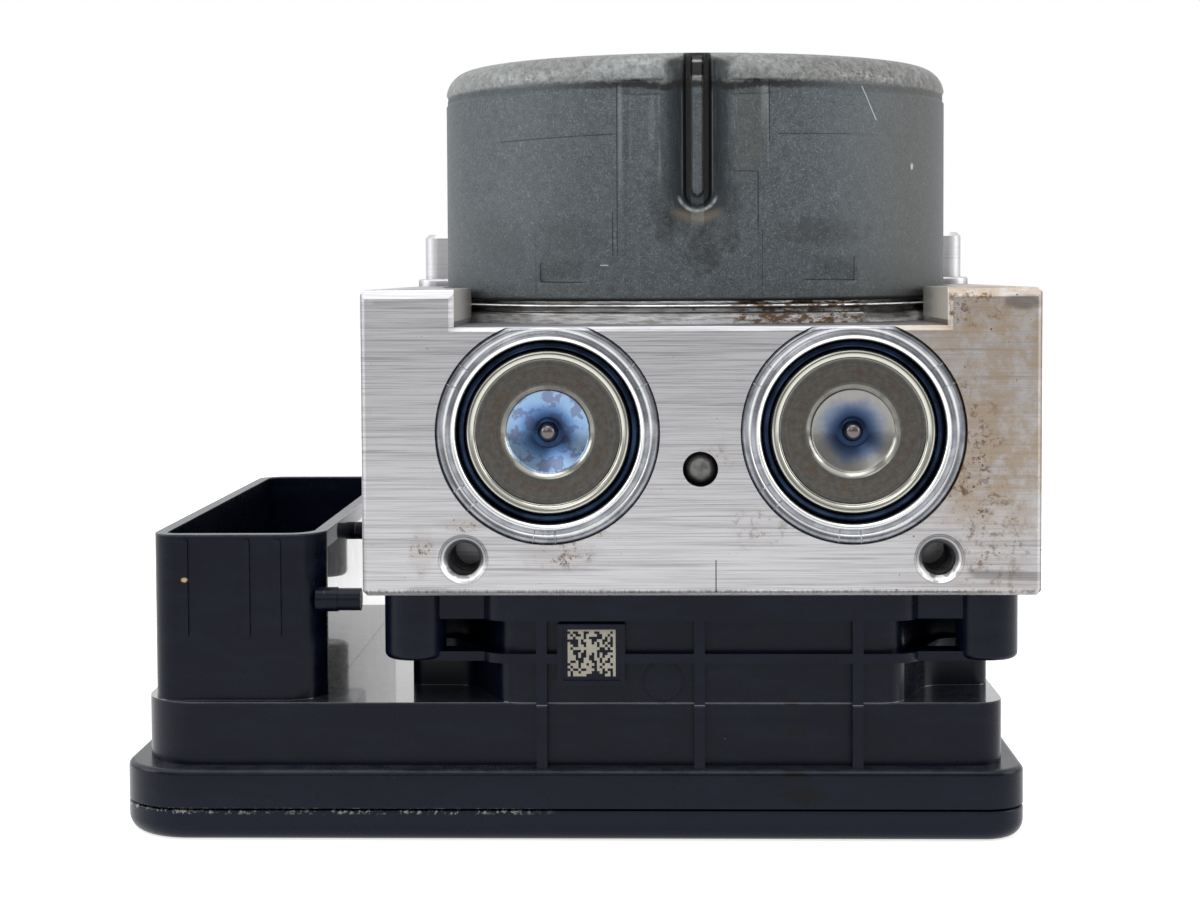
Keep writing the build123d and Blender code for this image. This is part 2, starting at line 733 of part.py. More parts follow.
# Pump elements, one on each side of the eccentric: barrel, piston, spring and staked plug
barrel_end = barrel_start + barrel_length
piston_end = piston_start + piston_length
for side, name in ((-1, "left"), (1, "right")):
    element_axis = Axis((0, 0, pump_z), (1, 0, 0))
    with BuildPart() as barrel:
        with BuildSketch(Plane.XY.offset(pump_z)):
            with BuildLine():
                Polyline(
                    (side * barrel_start, piston_radius + running_gap),
                    (side * barrel_start, pump_bore_radius - barrel_groove),
                    (side * (barrel_start + barrel_wall), pump_bore_radius - press_gap),
                    (side * barrel_end, pump_bore_radius - press_gap),
                    (side * barrel_end, duct_radius),
                    (side * (barrel_end - barrel_wall), duct_radius),
                    (side * (barrel_end - barrel_wall), piston_radius + running_gap),
                    close=True,
                )
            make_face()
        revolve(axis=element_axis)
    barrel.part.label = f"pump_barrel_{name}"
    export_step(barrel.part, f"parts/pump_barrel_{name}.step")

    with BuildPart() as piston:
        with BuildSketch(Plane.YZ.offset(side * piston_start)):
            with Locations((0, pump_z)):
                Circle(piston_radius)
        extrude(amount=side * piston_length)
        chamfer(piston.edges().filter_by(GeomType.CIRCLE), piston_chamfer)
    piston.part.label = f"pump_piston_{name}"
    export_step(piston.part, f"parts/pump_piston_{name}.step")

    spring_room = barrel_end - barrel_wall - piston_end - 2 * (pump_wire + coil_end_gap)
    with BuildPart() as pump_spring:
        with BuildLine() as coil:
            Helix(
                pitch=spring_room / pump_coils,
                height=spring_room,
                radius=piston_radius - 2 * pump_wire,
                center=(side * (piston_end + pump_wire + coil_end_gap), 0, pump_z),
                direction=(side, 0, 0),
            )
        with BuildSketch(Plane(origin=coil.line @ 0, z_dir=coil.line % 0)):
            Circle(pump_wire)
        sweep(path=coil.line)
    pump_spring.part.label = f"pump_spring_{name}"
    export_step(pump_spring.part, f"parts/pump_spring_{name}.step")

    with BuildPart() as pump_plug:
        with BuildSketch(Plane.XY.offset(pump_z)):
            with BuildLine():
                Polyline(
                    (side * barrel_end, 0),
                    (side * barrel_end, pump_bore_radius - press_gap),
                    (side * (plug_face - plug_edge), pump_bore_radius - press_gap),
                    (side * plug_face, pump_bore_radius - plug_edge),
                    (side * plug_face, pump_bore_radius / 2),
                    (side * (plug_face - plug_dish), pump_bore_radius / 2 - plug_edge),
                    (side * (plug_face - plug_dish), 0),
                    close=True,
                )
            make_face()
        revolve(axis=element_axis)
    pump_plug.part.label = f"pump_plug_{name}"
    export_step(pump_plug.part, f"parts/pump_plug_{name}.step")

# Accumulators: pressed cap, retaining ring, spring, piston and seal
store_end = accumulator_depth - store_end_gap
store_start = store_end - store_length
store_radius = accumulator_radius - store_gap
groove_radius = accumulator_radius - 2 * seal_wire - press_gap
cap_back = cap_face_depth + dish_depth + cap_thickness
for side, name in ((-1, "left"), (1, "right")):
    centre = (side * accumulator_spacing / 2, -block_front, accumulator_z)
    section = Plane(origin=centre)
    store_axis = Axis(centre, (0, 1, 0))
    with BuildPart() as cap:
        with BuildSketch(section):
            with BuildLine():
                Polyline(
                    (0, cap_face_depth + dish_depth - nub_height),
                    (nub_radius, cap_face_depth + dish_depth - nub_height),
                    (nub_radius, cap_face_depth + dish_depth),
                    (dish_radius, cap_face_depth),
                    (cap_radius - cap_roll, cap_face_depth),
                )
                CenterArc((cap_radius - cap_roll / 2, cap_face_depth), cap_roll / 2, 180, 180)
                Polyline(
                    (cap_radius, cap_face_depth),
                    (cap_radius, clip_seat),
                    (accumulator_radius - press_gap, clip_seat),
                    (accumulator_radius - press_gap, cap_back),
                    (0, cap_back),
                    (0, cap_face_depth + dish_depth - nub_height),
                )
            make_face()
        revolve(axis=store_axis)
    cap.part.label = f"accumulator_cap_{name}"
    export_step(cap.part, f"parts/accumulator_cap_{name}.step")

    with BuildPart() as clip:
        with BuildSketch(section):
            with Locations(((cap_radius + accumulator_radius) / 2, clip_seat - clip_thickness / 2)):
                RectangleRounded(accumulator_radius - cap_radius - 2 * press_gap, clip_thickness, clip_round)
        revolve(axis=store_axis)
    clip.part.label = f"accumulator_clip_{name}"
    export_step(clip.part, f"parts/accumulator_clip_{name}.step")

    with BuildPart() as store_piston:
        with BuildSketch(section):
            with BuildLine():
                Polyline(
                    (0, store_end - store_wall),
                    (store_radius - 2 * store_wall, store_end - store_wall),
                    (store_radius - 2 * store_wall, store_start),
                    (store_radius, store_start),
                    (store_radius, store_end - store_length / 2 - seal_wire),
                    (groove_radius, store_end - store_length / 2 - seal_wire),
                    (groove_radius, store_end - store_length / 2 + seal_wire),
                    (store_radius, store_end - store_length / 2 + seal_wire),
                    (store_radius, store_end),
                    (0, store_end),
                    close=True,
                )
            make_face()
        revolve(axis=store_axis)
    store_piston.part.label = f"accumulator_piston_{name}"
    export_step(store_piston.part, f"parts/accumulator_piston_{name}.step")

    with BuildPart() as store_seal:
        with BuildSketch(section):
            with Locations((groove_radius + seal_wire, store_end - store_length / 2)):
                Circle(seal_wire - press_gap / 2)
        revolve(axis=store_axis)
    store_seal.part.label = f"accumulator_seal_{name}"
    export_step(store_seal.part, f"parts/accumulator_seal_{name}.step")

    coil_room = store_end - store_wall - cap_back - 2 * (store_wire + coil_end_gap)
    with BuildPart() as store_spring:
        with BuildLine() as coil:
            Helix(
                pitch=coil_room / store_coils,
                height=coil_room,
                radius=store_spring_radius,
                center=(centre[0], cap_back + store_wire + coil_end_gap - block_front, centre[2]),
                direction=(0, 1, 0),
            )
        with BuildSketch(Plane(origin=coil.line @ 0, z_dir=coil.line % 0)):
            Circle(store_wire)
        sweep(path=coil.line)
    store_spring.part.label = f"accumulator_spring_{name}"
    export_step(store_spring.part, f"parts/accumulator_spring_{name}.step")

# Ball plugs: one in the front face and two in each side
with BuildPart() as ball_plugs:
    with Locations(front_plane(0, ball_z).offset(-ball_depth)):
        Sphere(ball_radius)
    for side in (-1, 1):
        for y, z in ((-valve_row, ball_z), (valve_row, wheel_z)):
            with Locations(side_plane(side, y, z).offset(-ball_depth)):
                Sphere(ball_radius)
ball_plugs.part.label = "ball_plugs"
export_step(ball_plugs.part, "parts/ball_plugs.step")

# Valve cartridges: the body sits in the block and the closed sleeve hangs down into the coil
for name, row in (("outlet_valves", -valve_row), ("inlet_valves", valve_row)):
    with BuildPart() as cartridges:
        with BuildSketch(Plane.XZ):
            with BuildLine():
                Polyline(
                    (0, -sleeve_length),
                    (sleeve_radius - sleeve_round, -sleeve_length),
                    (sleeve_radius, sleeve_round - sleeve_length),
                    (sleeve_radius, 0),
                    (valve_radius - valve_clearance, 0),
                    (valve_radius - valve_clearance, valve_depth - valve_nose_length),
                    (valve_nose_radius, valve_depth - valve_nose_length),
                    (valve_nose_radius, valve_depth),
                    (0, valve_depth),
                    close=True,
                )
            make_face()
        cartridge = revolve(axis=Axis.Z, mode=Mode.PRIVATE)
        with Locations(*[(x, row, block_base) for x in ports]):
            add(cartridge)
    cartridges.part.label = name
    export_step(cartridges.part, f"parts/{name}.step")

# Solenoid coils: eight moulded bobbins, each slid over a valve's sleeve
with BuildPart() as solenoid_coils:
    with BuildSketch(Plane.XY.offset(coil_base)):
        with Locations(*valves):
            Circle(coil_radius)
            Circle(sleeve_radius + coil_gap, mode=Mode.SUBTRACT)
    extrude(amount=coil_height)
    with BuildSketch(Plane.XY.offset(coil_base + coil_flange)):
        with Locations(*valves):
            Circle(coil_radius)
            Circle(coil_radius - coil_waist, mode=Mode.SUBTRACT)
    extrude(amount=coil_height - 2 * coil_flange, mode=Mode.SUBTRACT)
solenoid_coils.part.label = "solenoid_coils"
export_step(solenoid_coils.part, "parts/solenoid_coils.step")


# A screw boss, its top at the origin and its lower end rounded
with BuildPart() as boss_form:
    Cylinder(boss_radius, boss_length, align=(Align.CENTER, Align.CENTER, Align.MAX))
    fillet(boss_form.faces().sort_by(Axis.Z)[0].edges(), boss_edge)
screw_boss = boss_form.part


def tower_plan(grow):
    """The tower's outline, grown outwards by this much and stepped back beside the screw bosses."""
    half = tower_half + grow
    shoulder = shoulder_half + grow
    front_half = tower_front_half + grow
    corners = [
        (-half, -tower_shoulder - grow),
        (-shoulder, -tower_shoulder - grow),
        (-front_half, -tower_front - grow),
        (front_half, -tower_front - grow),
        (shoulder, -tower_shoulder - grow),
        (half, -tower_shoulder - grow),
        (half, tower_back + grow),
        (-half, tower_back + grow),
    ]
    rounds = [tower_round / 2] + [tower_round] * 4 + [tower_round / 2] + [tower_back_round + grow] * 2
    return FilletPolyline(*corners, radius=rounds, close=True)


def house_plan(inset):
    """The stepped body's outline, drawn in by this much."""
    radii = [corner - inset for corner in (left_corner, right_corner, right_corner, left_corner)]
    return rounded_plan(step_left - inset, step_right - inset, step_front - inset, step_back - inset, radii)


def flange_plan():
    """The outline that the housing's flange and the cover share."""
    radii = [flange_corner_left, flange_corner_right, flange_corner_right, flange_corner_left]
    return rounded_plan(house_left, house_right, house_front, house_back, radii)


def plug_plan(inset):
    """The connector shroud's outline, drawn in by this much."""
    corners = (plug_corner_left, plug_corner_right, plug_corner_back, plug_corner_back)
    radii = [corner - inset for corner in corners]
    return rounded_plan(plug_left - inset, -plug_right - inset, plug_front - inset, plug_back - inset, radii)


# Control housing: flange, stepped body, ribbed tower under the block and the open connector shroud
with BuildPart() as ecu_housing:
    with BuildSketch(Plane.XY.offset(flange_base)):
        with BuildLine():
            flange_plan()
        make_face()
    extrude(amount=flange_height)
    fillet(ecu_housing.faces().sort_by(Axis.Z)[-1].edges(), flange_round)
    with BuildSketch(Plane.XY.offset(flange_base)):
        with BuildLine():
            house_plan(0)
        make_face()
    extrude(amount=shelf_z - flange_base)
    with BuildSketch(Plane.XY.offset(tower_foot)):
        with BuildLine():
            tower_plan(0)
        make_face()
    extrude(amount=block_base - tower_foot)
    # The band and the rail run round the tower's front and end at the screw bosses
    for low, height in ((block_base - band_height, band_height), (block_base - rail_drop, rail_height)):
        with BuildSketch(Plane.XY.offset(low)):
            with BuildLine():
                tower_plan(rib_depth)
            make_face()
            with Locations((0, -tower_front)):
                Rectangle(2 * boss_x, 2 * (tower_front - tower_shoulder), mode=Mode.INTERSECT)
            for x, y in bosses:
                if y < 0:
                    with Locations((x - math.copysign(neck_length / 2, x), y)):
                        Rectangle(neck_length, neck_width)
        extrude(amount=height)
    with BuildSketch(Plane.XY.offset(flange_top)):
        with Locations(*[(x, -tower_front) for x in rib_places]):
            Rectangle(rib_width, 2 * rib_depth)
    extrude(amount=block_base - flange_top)
    with BuildSketch(Plane.XZ.offset(tower_front)):
        with Locations((pad_x, shelf_z + pad_rise)):
            RectangleRounded(pad_width, pad_height, pad_round)
    extrude(amount=rib_depth)
    # Screw bosses with a rounded lower end, the front ones joined to the tower by a web
    with Locations(*[(x, y, block_base) for x, y in bosses]):
        add(screw_boss)
    with BuildSketch(Plane.XY.offset(block_base)):
        with Locations(*[(x, -(boss_front + tower_shoulder) / 2) for x, y in bosses if y < 0]):
            Rectangle(web_thickness, boss_front - tower_shoulder)
    extrude(amount=boss_edge - boss_length)
    # Connector shroud with three ribs on its front
    with BuildSketch(Plane.XY.offset(ceiling)):
        with BuildLine():
            plug_plan(0)
        make_face()
    extrude(amount=rim_z - ceiling)
    with BuildSketch(Plane.XZ.offset(plug_front)):
        with Locations(*[(x - plug_left, plug_rib_z) for x in plug_rib_places]):
            RectangleRounded(plug_rib_width, plug_rib_length, plug_rib_round)
    extrude(amount=plug_rib_depth)
    # The hollows: body, tower and shroud
    with BuildSketch(Plane.XY.offset(flange_base)):
        with BuildLine():
            house_plan(house_wall)
        make_face()
    extrude(amount=ceiling - flange_base, mode=Mode.SUBTRACT)
    with BuildSketch(Plane.XY.offset(ceiling)):
        with BuildLine():
            tower_plan(-house_wall)
        make_face()
    extrude(amount=block_base - ceiling, mode=Mode.SUBTRACT)
    with BuildSketch(Plane.XY.offset(plug_floor_top)):
        with BuildLine():
            plug_plan(plug_wall)
        make_face()
    extrude(amount=rim_z - plug_floor_top, mode=Mode.SUBTRACT)
    # Pegs on the shroud's right wall
    for y, z, radius, length in (
        (peg_back, shelf_z + peg_rise, peg_radius, peg_length),
        (small_peg_back, shelf_z + small_peg_rise, small_peg_radius, small_peg_length),
    ):
        with BuildSketch(Plane.YZ.offset(-plug_right - peg_root)):
            with Locations((y, z)):
                Circle(radius)
        extrude(amount=peg_root + min(peg_foot, length / 2))
        with BuildSketch(Plane.YZ.offset(-plug_right)):
            with Locations((y, z)):
                Circle(radius - peg_step)
        extrude(amount=length)
    # Posts that the circuit board hangs on
    with BuildSketch(Plane.XY.offset(board_top)):
        with Locations(*posts):
            Circle(post_radius)
    extrude(amount=ceiling - board_top)
    # Holes for the screws and the connector's pins, and the gasket's groove
    with BuildSketch(Plane.XY.offset(block_base)):
        with Locations(*bosses):
            Circle(screw_radius)
    extrude(amount=screw_tip - screw_play - block_base, mode=Mode.SUBTRACT)
    with BuildSketch(Plane.XY.offset(ceiling)):
        with Locations(*pins):
            Rectangle(pin_size, pin_size)
        with Locations(*blades):
            Rectangle(blade_thickness, blade_width)
    extrude(amount=plug_floor, mode=Mode.SUBTRACT)
    with BuildSketch(Plane.XY.offset(block_base)):
        with BuildLine():
            tower_plan(-gasket_inset)
        make_face()
        with BuildLine():
            tower_plan(-gasket_inset - gasket_width)
        make_face(mode=Mode.SUBTRACT)
    extrude(amount=-gasket_depth, mode=Mode.SUBTRACT)
ecu_housing.part.label = "ecu_housing"
export_step(ecu_housing.part, "parts/ecu_housing.step")

with BuildPart() as housing_gasket:
    with BuildSketch(Plane.XY.offset(block_base)):
        with BuildLine():
            tower_plan(-gasket_inset)
        make_face()
        with BuildLine():
            tower_plan(-gasket_inset - gasket_width)
        make_face(mode=Mode.SUBTRACT)
    extrude(amount=-gasket_depth)
housing_gasket.part.label = "housing_gasket"
export_step(housing_gasket.part, "parts/housing_gasket.step")

# Housing screws, entered from above through the block
with BuildPart() as ecu_screws:
    with BuildSketch(Plane.XY.offset(screw_tip)):
        with Locations(*bosses):
            Circle(screw_radius)
    extrude(amount=screw_length)
    with BuildSketch(Plane.XY.offset(screw_seat)):
        with Locations(*bosses):
            Circle(screw_head_radius)
    extrude(amount=screw_head_height)
    with BuildSketch(Plane.XY.offset(screw_seat + screw_head_height)):
        with Locations(*bosses):
            RegularPolygon(socket_radius, 6)
    extrude(amount=-socket_depth, mode=Mode.SUBTRACT)
ecu_screws.part.label = "ecu_screws"
export_step(ecu_screws.part, "parts/ecu_screws.step")

# Cover: a shallow tray with a rounded lower edge and the rib that is welded inside the housing
with BuildPart() as ecu_cover:
    with BuildSketch(Plane.XY):
        with BuildLine():
            flange_plan()
        make_face()
    extrude(amount=cover_height)
    fillet(ecu_cover.faces().sort_by(Axis.Z)[0].edges(), cover_edge)
    with BuildSketch(Plane.XY.offset(cover_plate)):
        with BuildLine():
            house_plan(house_wall)
        make_face()
    extrude(amount=flange_base + cover_lip - cover_plate)
    with BuildSketch(Plane.XY.offset(cover_plate)):
        with BuildLine():
            house_plan(house_wall + cover_lip)
        make_face()
    extrude(amount=flange_base + cover_lip - cover_plate, mode=Mode.SUBTRACT)
ecu_cover.part.label = "ecu_cover"
export_step(ecu_cover.part, "parts/ecu_cover.step")

# Circuit board with what stands on it
with BuildPart() as circuit_board:
    with BuildSketch(Plane.XY.offset(board_z)):
        with BuildLine():
            house_plan(house_wall + board_play)
        make_face()
        with Locations(*pins):
            Rectangle(pin_size, pin_size, mode=Mode.SUBTRACT)
        with Locations(*blades):
            Rectangle(blade_thickness, blade_width, mode=Mode.SUBTRACT)
    extrude(amount=board_thickness)
circuit_board.part.label = "circuit_board"
export_step(circuit_board.part, "parts/circuit_board.step")

with BuildPart() as board_components:
    with BuildSketch(Plane.XY.offset(board_top)):
        for x, y, width, depth in chips:
            with Locations((x, y)):
                Rectangle(width, depth)
    extrude(amount=chip_height)
    with BuildSketch(Plane.XY.offset(board_top)):
        with Locations(*capacitors):
            Circle(capacitor_radius)
    extrude(amount=capacitor_height)
board_components.part.label = "board_components"
export_step(board_components.part, "parts/board_components.step")

with BuildPart() as coil_leads:
    with BuildSketch(Plane.XY.offset(board_top)):
        with Locations(*[(x + side * lead_offset, y) for x, y in valves for side in (-1, 1)]):
            Circle(lead_radius)
    extrude(amount=coil_base - board_top)
coil_leads.part.label = "coil_leads"
export_step(coil_leads.part, "parts/coil_leads.step")

with BuildPart() as connector_pins:
    with BuildSketch(Plane.XY.offset(pin_base)):
        with Locations(*pins):
            Rectangle(pin_size, pin_size)
        with Locations(*blades):
            Rectangle(blade_thickness, blade_width)
    extrude(amount=pin_top - pin_base)
connector_pins.part.label = "connector_pins"
export_step(connector_pins.part, "parts/connector_pins.step")
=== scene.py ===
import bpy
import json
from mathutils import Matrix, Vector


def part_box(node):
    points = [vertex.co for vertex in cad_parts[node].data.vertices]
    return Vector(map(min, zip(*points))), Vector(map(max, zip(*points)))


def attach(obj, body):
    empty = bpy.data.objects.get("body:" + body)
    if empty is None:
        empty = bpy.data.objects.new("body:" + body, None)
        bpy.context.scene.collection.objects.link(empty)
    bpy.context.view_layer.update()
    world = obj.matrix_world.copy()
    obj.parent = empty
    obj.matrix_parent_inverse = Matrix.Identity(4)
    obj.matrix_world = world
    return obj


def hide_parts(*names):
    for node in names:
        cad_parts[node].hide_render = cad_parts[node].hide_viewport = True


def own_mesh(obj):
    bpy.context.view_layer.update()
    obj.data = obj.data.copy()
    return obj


bl_info = {
    "name": "Brake pressure control unit",
    "version": (1, 0, 0),
    "blender": (4, 5, 0),
    "location": "View3D > Sidebar > Brake unit",
    "description": "Dresses the brake pressure control unit and sets its studio",
    "category": "Object",
}

import json
import math
from functools import cache
from random import Random

import bmesh
import bpy
from bpy.props import FloatProperty, FloatVectorProperty, IntProperty, PointerProperty
from mathutils import Matrix, Vector

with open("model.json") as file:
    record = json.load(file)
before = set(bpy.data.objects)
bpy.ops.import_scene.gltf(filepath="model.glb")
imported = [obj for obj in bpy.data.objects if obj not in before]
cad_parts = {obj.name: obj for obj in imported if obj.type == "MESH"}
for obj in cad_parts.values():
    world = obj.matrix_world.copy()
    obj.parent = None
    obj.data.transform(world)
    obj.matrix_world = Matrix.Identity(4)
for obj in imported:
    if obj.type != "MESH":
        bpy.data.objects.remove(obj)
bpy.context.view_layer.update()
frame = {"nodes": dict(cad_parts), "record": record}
nodes = frame["nodes"]
MM = 0.001

# Millimetres that shapes and finishes share: the middles of the mounting threads, the accumulators and
# the scoop, and how far the flange plate's rim stands above its foot
MOUNT_X, MOUNT_Z = 35, 42.1
STORE_X, STORE_Z = 22.5, 60.8
SCOOP_X = -0.1
SEAT_RISE = 7.2
SIDES = ((-1, "left"), (1, "right"))


def linear(red, green, blue):
    """A colour picked on screen, 0 to 255, as the linear values that shaders take."""
    parts = (c / 255 for c in (red, green, blue))
    return tuple(c / 12.92 if c <= 0.04045 else ((c + 0.055) / 1.055) ** 2.4 for c in parts)


def smooth(low, high, value):
    """0 below low, 1 above high and an even curve between."""
    t = min(1.0, max(0.0, (value - low) / (high - low)))
    return t * t * (3 - 2 * t)


def heights(node):
    """The lowest and the highest point of a CAD solid, in millimetres."""
    return (corner[2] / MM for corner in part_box(node))


# Shader maths


class Wire:
    """A shader socket that takes Python's operators, each of which adds its Math node."""

    def __init__(self, finish, socket):
        self.finish = finish
        self.socket = socket

    def math(self, operation, *values):
        return self.finish.node("ShaderNodeMath", {"operation": operation}, dict(enumerate((self, *values))))

    def __add__(self, other):
        return self.math("ADD", other)

    __radd__ = __add__

    def __mul__(self, other):
        return self.math("MULTIPLY", other)

    __rmul__ = __mul__

    def __sub__(self, other):
        return self.math("SUBTRACT", other)

    def __rsub__(self, other):
        return self.finish.node("ShaderNodeMath", {"operation": "SUBTRACT"}, {0: other, 1: self})

    def __truediv__(self, other):
        return self.math("DIVIDE", other)

    def __pow__(self, other):
        return self.math("POWER", other)

    def __abs__(self):
        return self.math("ABSOLUTE")

    def capped(self):
        """No more than 1."""
        return self.math("MINIMUM", 1.0)

    def ramp(self, low, high, start=0.0, end=1.0):
        """Start below low, end above high and an even curve between."""
        values = {"Value": self, "From Min": low, "From Max": high, "To Min": start, "To Max": end}
        return self.finish.node("ShaderNodeMapRange", {"interpolation_type": "SMOOTHSTEP"}, values)

    def fall(self, low, high):
        """1 below low, 0 above high and an even curve between."""
        return self.ramp(low, high, 1.0, 0.0)

    def within(self, low, high, soft=0.1):
        """1 between two limits, with soft edges."""
        return self.ramp(low - soft, low + soft) * self.fall(high - soft, high + soft)


def distance(across, up):
    """The length of a line that goes this far across and this far up."""
    return (across * across + up * up) ** 0.5


class Nodes:
    """A node tree that is built by expressions."""

    def __init__(self, tree):
        self.tree = tree

    def node(self, kind, settings=None, values=None, output=0):
        """Adds a node: first its settings, then the values or links of its sockets."""
        made = self.tree.nodes.new(kind)
        for name, value in (settings or {}).items():
            setattr(made, name, value)
        for name, value in (values or {}).items():
            if isinstance(value, Wire):
                self.tree.links.new(value.socket, made.inputs[name])
            else:
                made.inputs[name].default_value = value
        return Wire(self, made.outputs[output])

    def seen(self):
        """1 where a surface is seen directly, mirrored or through glass."""
        outputs = ("Is Camera Ray", "Is Glossy Ray", "Is Transmission Ray")
        camera, glossy, through = (self.node("ShaderNodeLightPath", output=name) for name in outputs)
        return camera.math("MAXIMUM", glossy).math("MAXIMUM", through)


class Finish(Nodes):
    """A material that is built by expressions on the place of a point, in millimetres."""

    def __init__(self, name, metallic=0.0, specular=0.5):
        self.material = bpy.data.materials.new(name)
        self.material.use_nodes = True
        super().__init__(self.material.node_tree)
        self.shader = self.tree.nodes["Principled BSDF"]
        self.shader.inputs["Metallic"].default_value = metallic
        self.shader.inputs["Specular IOR Level"].default_value = specular
        self.noises = {}
        place = self.node("ShaderNodeTexCoord", output="Object")
        self.place = self.scaled(place, (1 / MM,) * 3)
        self.x, self.y, self.z = (self.node("ShaderNodeSeparateXYZ", None, {0: self.place}, axis) for axis in "XYZ")
        self.front = self.y.fall(-2, 0)

    def scaled(self, vector, by):
        return self.node("ShaderNodeVectorMath", {"operation": "MULTIPLY"}, {0: vector, 1: by})

    def features(self, per_mm):
        """The place of a point, scaled to this many features in a millimetre: one number or one for each axis."""
        return self.scaled(self.place, per_mm if isinstance(per_mm, tuple) else (per_mm,) * 3)

    def noise(self, per_mm, detail=2.0, rough=0.5, distortion=0.0):
        """Cloudy noise. The same noise is made once and shared."""
        key = (per_mm, detail, rough, distortion)
        if key not in self.noises:
            values = {"Vector": self.features(per_mm), "Scale": 1.0, "Detail": detail}
            values.update({"Roughness": rough, "Distortion": distortion})
            self.noises[key] = self.node("ShaderNodeTexNoise", None, values)
        return self.noises[key]

    def rings(self, away, per_mm):
        """Noise that changes only with the distance from a centre."""
        along = self.node("ShaderNodeCombineXYZ", None, {0: away * per_mm})
        return self.node("ShaderNodeTexNoise", None, {"Vector": along, "Scale": 1.0, "Detail": 3.0})

    def cells(self, per_mm, output):
        values = {"Vector": self.features(per_mm), "Scale": 1.0}
        return self.node("ShaderNodeTexVoronoi", None, values, output)

    def specks(self, per_mm, size, share):
        """Round dots: this share of the cells holds one, of up to this part of a cell."""
        chance = self.node("ShaderNodeSeparateColor", None, {0: self.cells(per_mm, "Color")}, 0)
        reach = (chance - (1 - share)) * (size / share)
        return (reach - self.cells(per_mm, "Distance")).ramp(0.0, 0.03)

    def spot(self, x, z, half_x, half_z, ragged=0.6, grain=0.45):
        """A ragged patch on the front, centred at x and z with these half widths."""
        reach = distance((self.x - x) / half_x, (self.z - z) / half_z)
        return (reach + (self.noise(grain, 4, 0.65) - 0.5) * (2 * ragged)).fall(0.55, 1.15) * self.front

    def spots(self, *rows):
        """Ragged patches added up: each row is a weight and then what spot takes."""
        return sum(self.spot(*row) * weight for weight, *row in rows)

    def line(self, x_low, z_low, x_high, z_high, half_width):
        """A thin straight mark on the front between two points."""
        length = math.hypot(x_high - x_low, z_high - z_low)
        ux, uz = (x_high - x_low) / length, (z_high - z_low) / length
        along = (self.x - x_low) * ux + (self.z - z_low) * uz
        off = abs((self.x - x_low) * -uz + (self.z - z_low) * ux)
        ends = along.ramp(-half_width, half_width) * along.fall(length - half_width, length + half_width)
        return off.fall(half_width * 0.4, half_width) * ends * self.front

    def lines(self, *rows):
        """Straight marks added up: each row is a weight and then what line takes."""
        return sum(self.line(*row) * weight for weight, *row in rows)

    def mix(self, mask, under, over):
        """The colour over laid on the colour under where the mask is 1."""
        values = {0: mask, 6: self.tint(under), 7: self.tint(over)}
        return self.node("ShaderNodeMix", {"data_type": "RGBA"}, values, 2)

    def layered(self, base, *layers):
        """A base colour and what is laid on it in turn: each layer is a mask and a colour."""
        for mask, over in layers:
            base = self.mix(mask, base, over)
        return base

    def tint(self, colour):
        return colour if isinstance(colour, Wire) else (*colour[:3], 1.0)

    def finished(self, colour, roughness, height, depth, metallic=None, coat=None):
        """Joins the colour, the roughness and a height in millimetres to the shader."""
        bump = self.node("ShaderNodeBump", None, {"Height": height, "Distance": depth * MM, "Strength": 1.0})
        ends = {"Base Color": colour, "Roughness": roughness, "Normal": bump}
        ends.update({"Metallic": metallic, "Coat Weight": coat})
        for name, wire in ends.items():
            if wire:
                self.tree.links.new(wire.socket, self.shader.inputs[name])
        return self.material


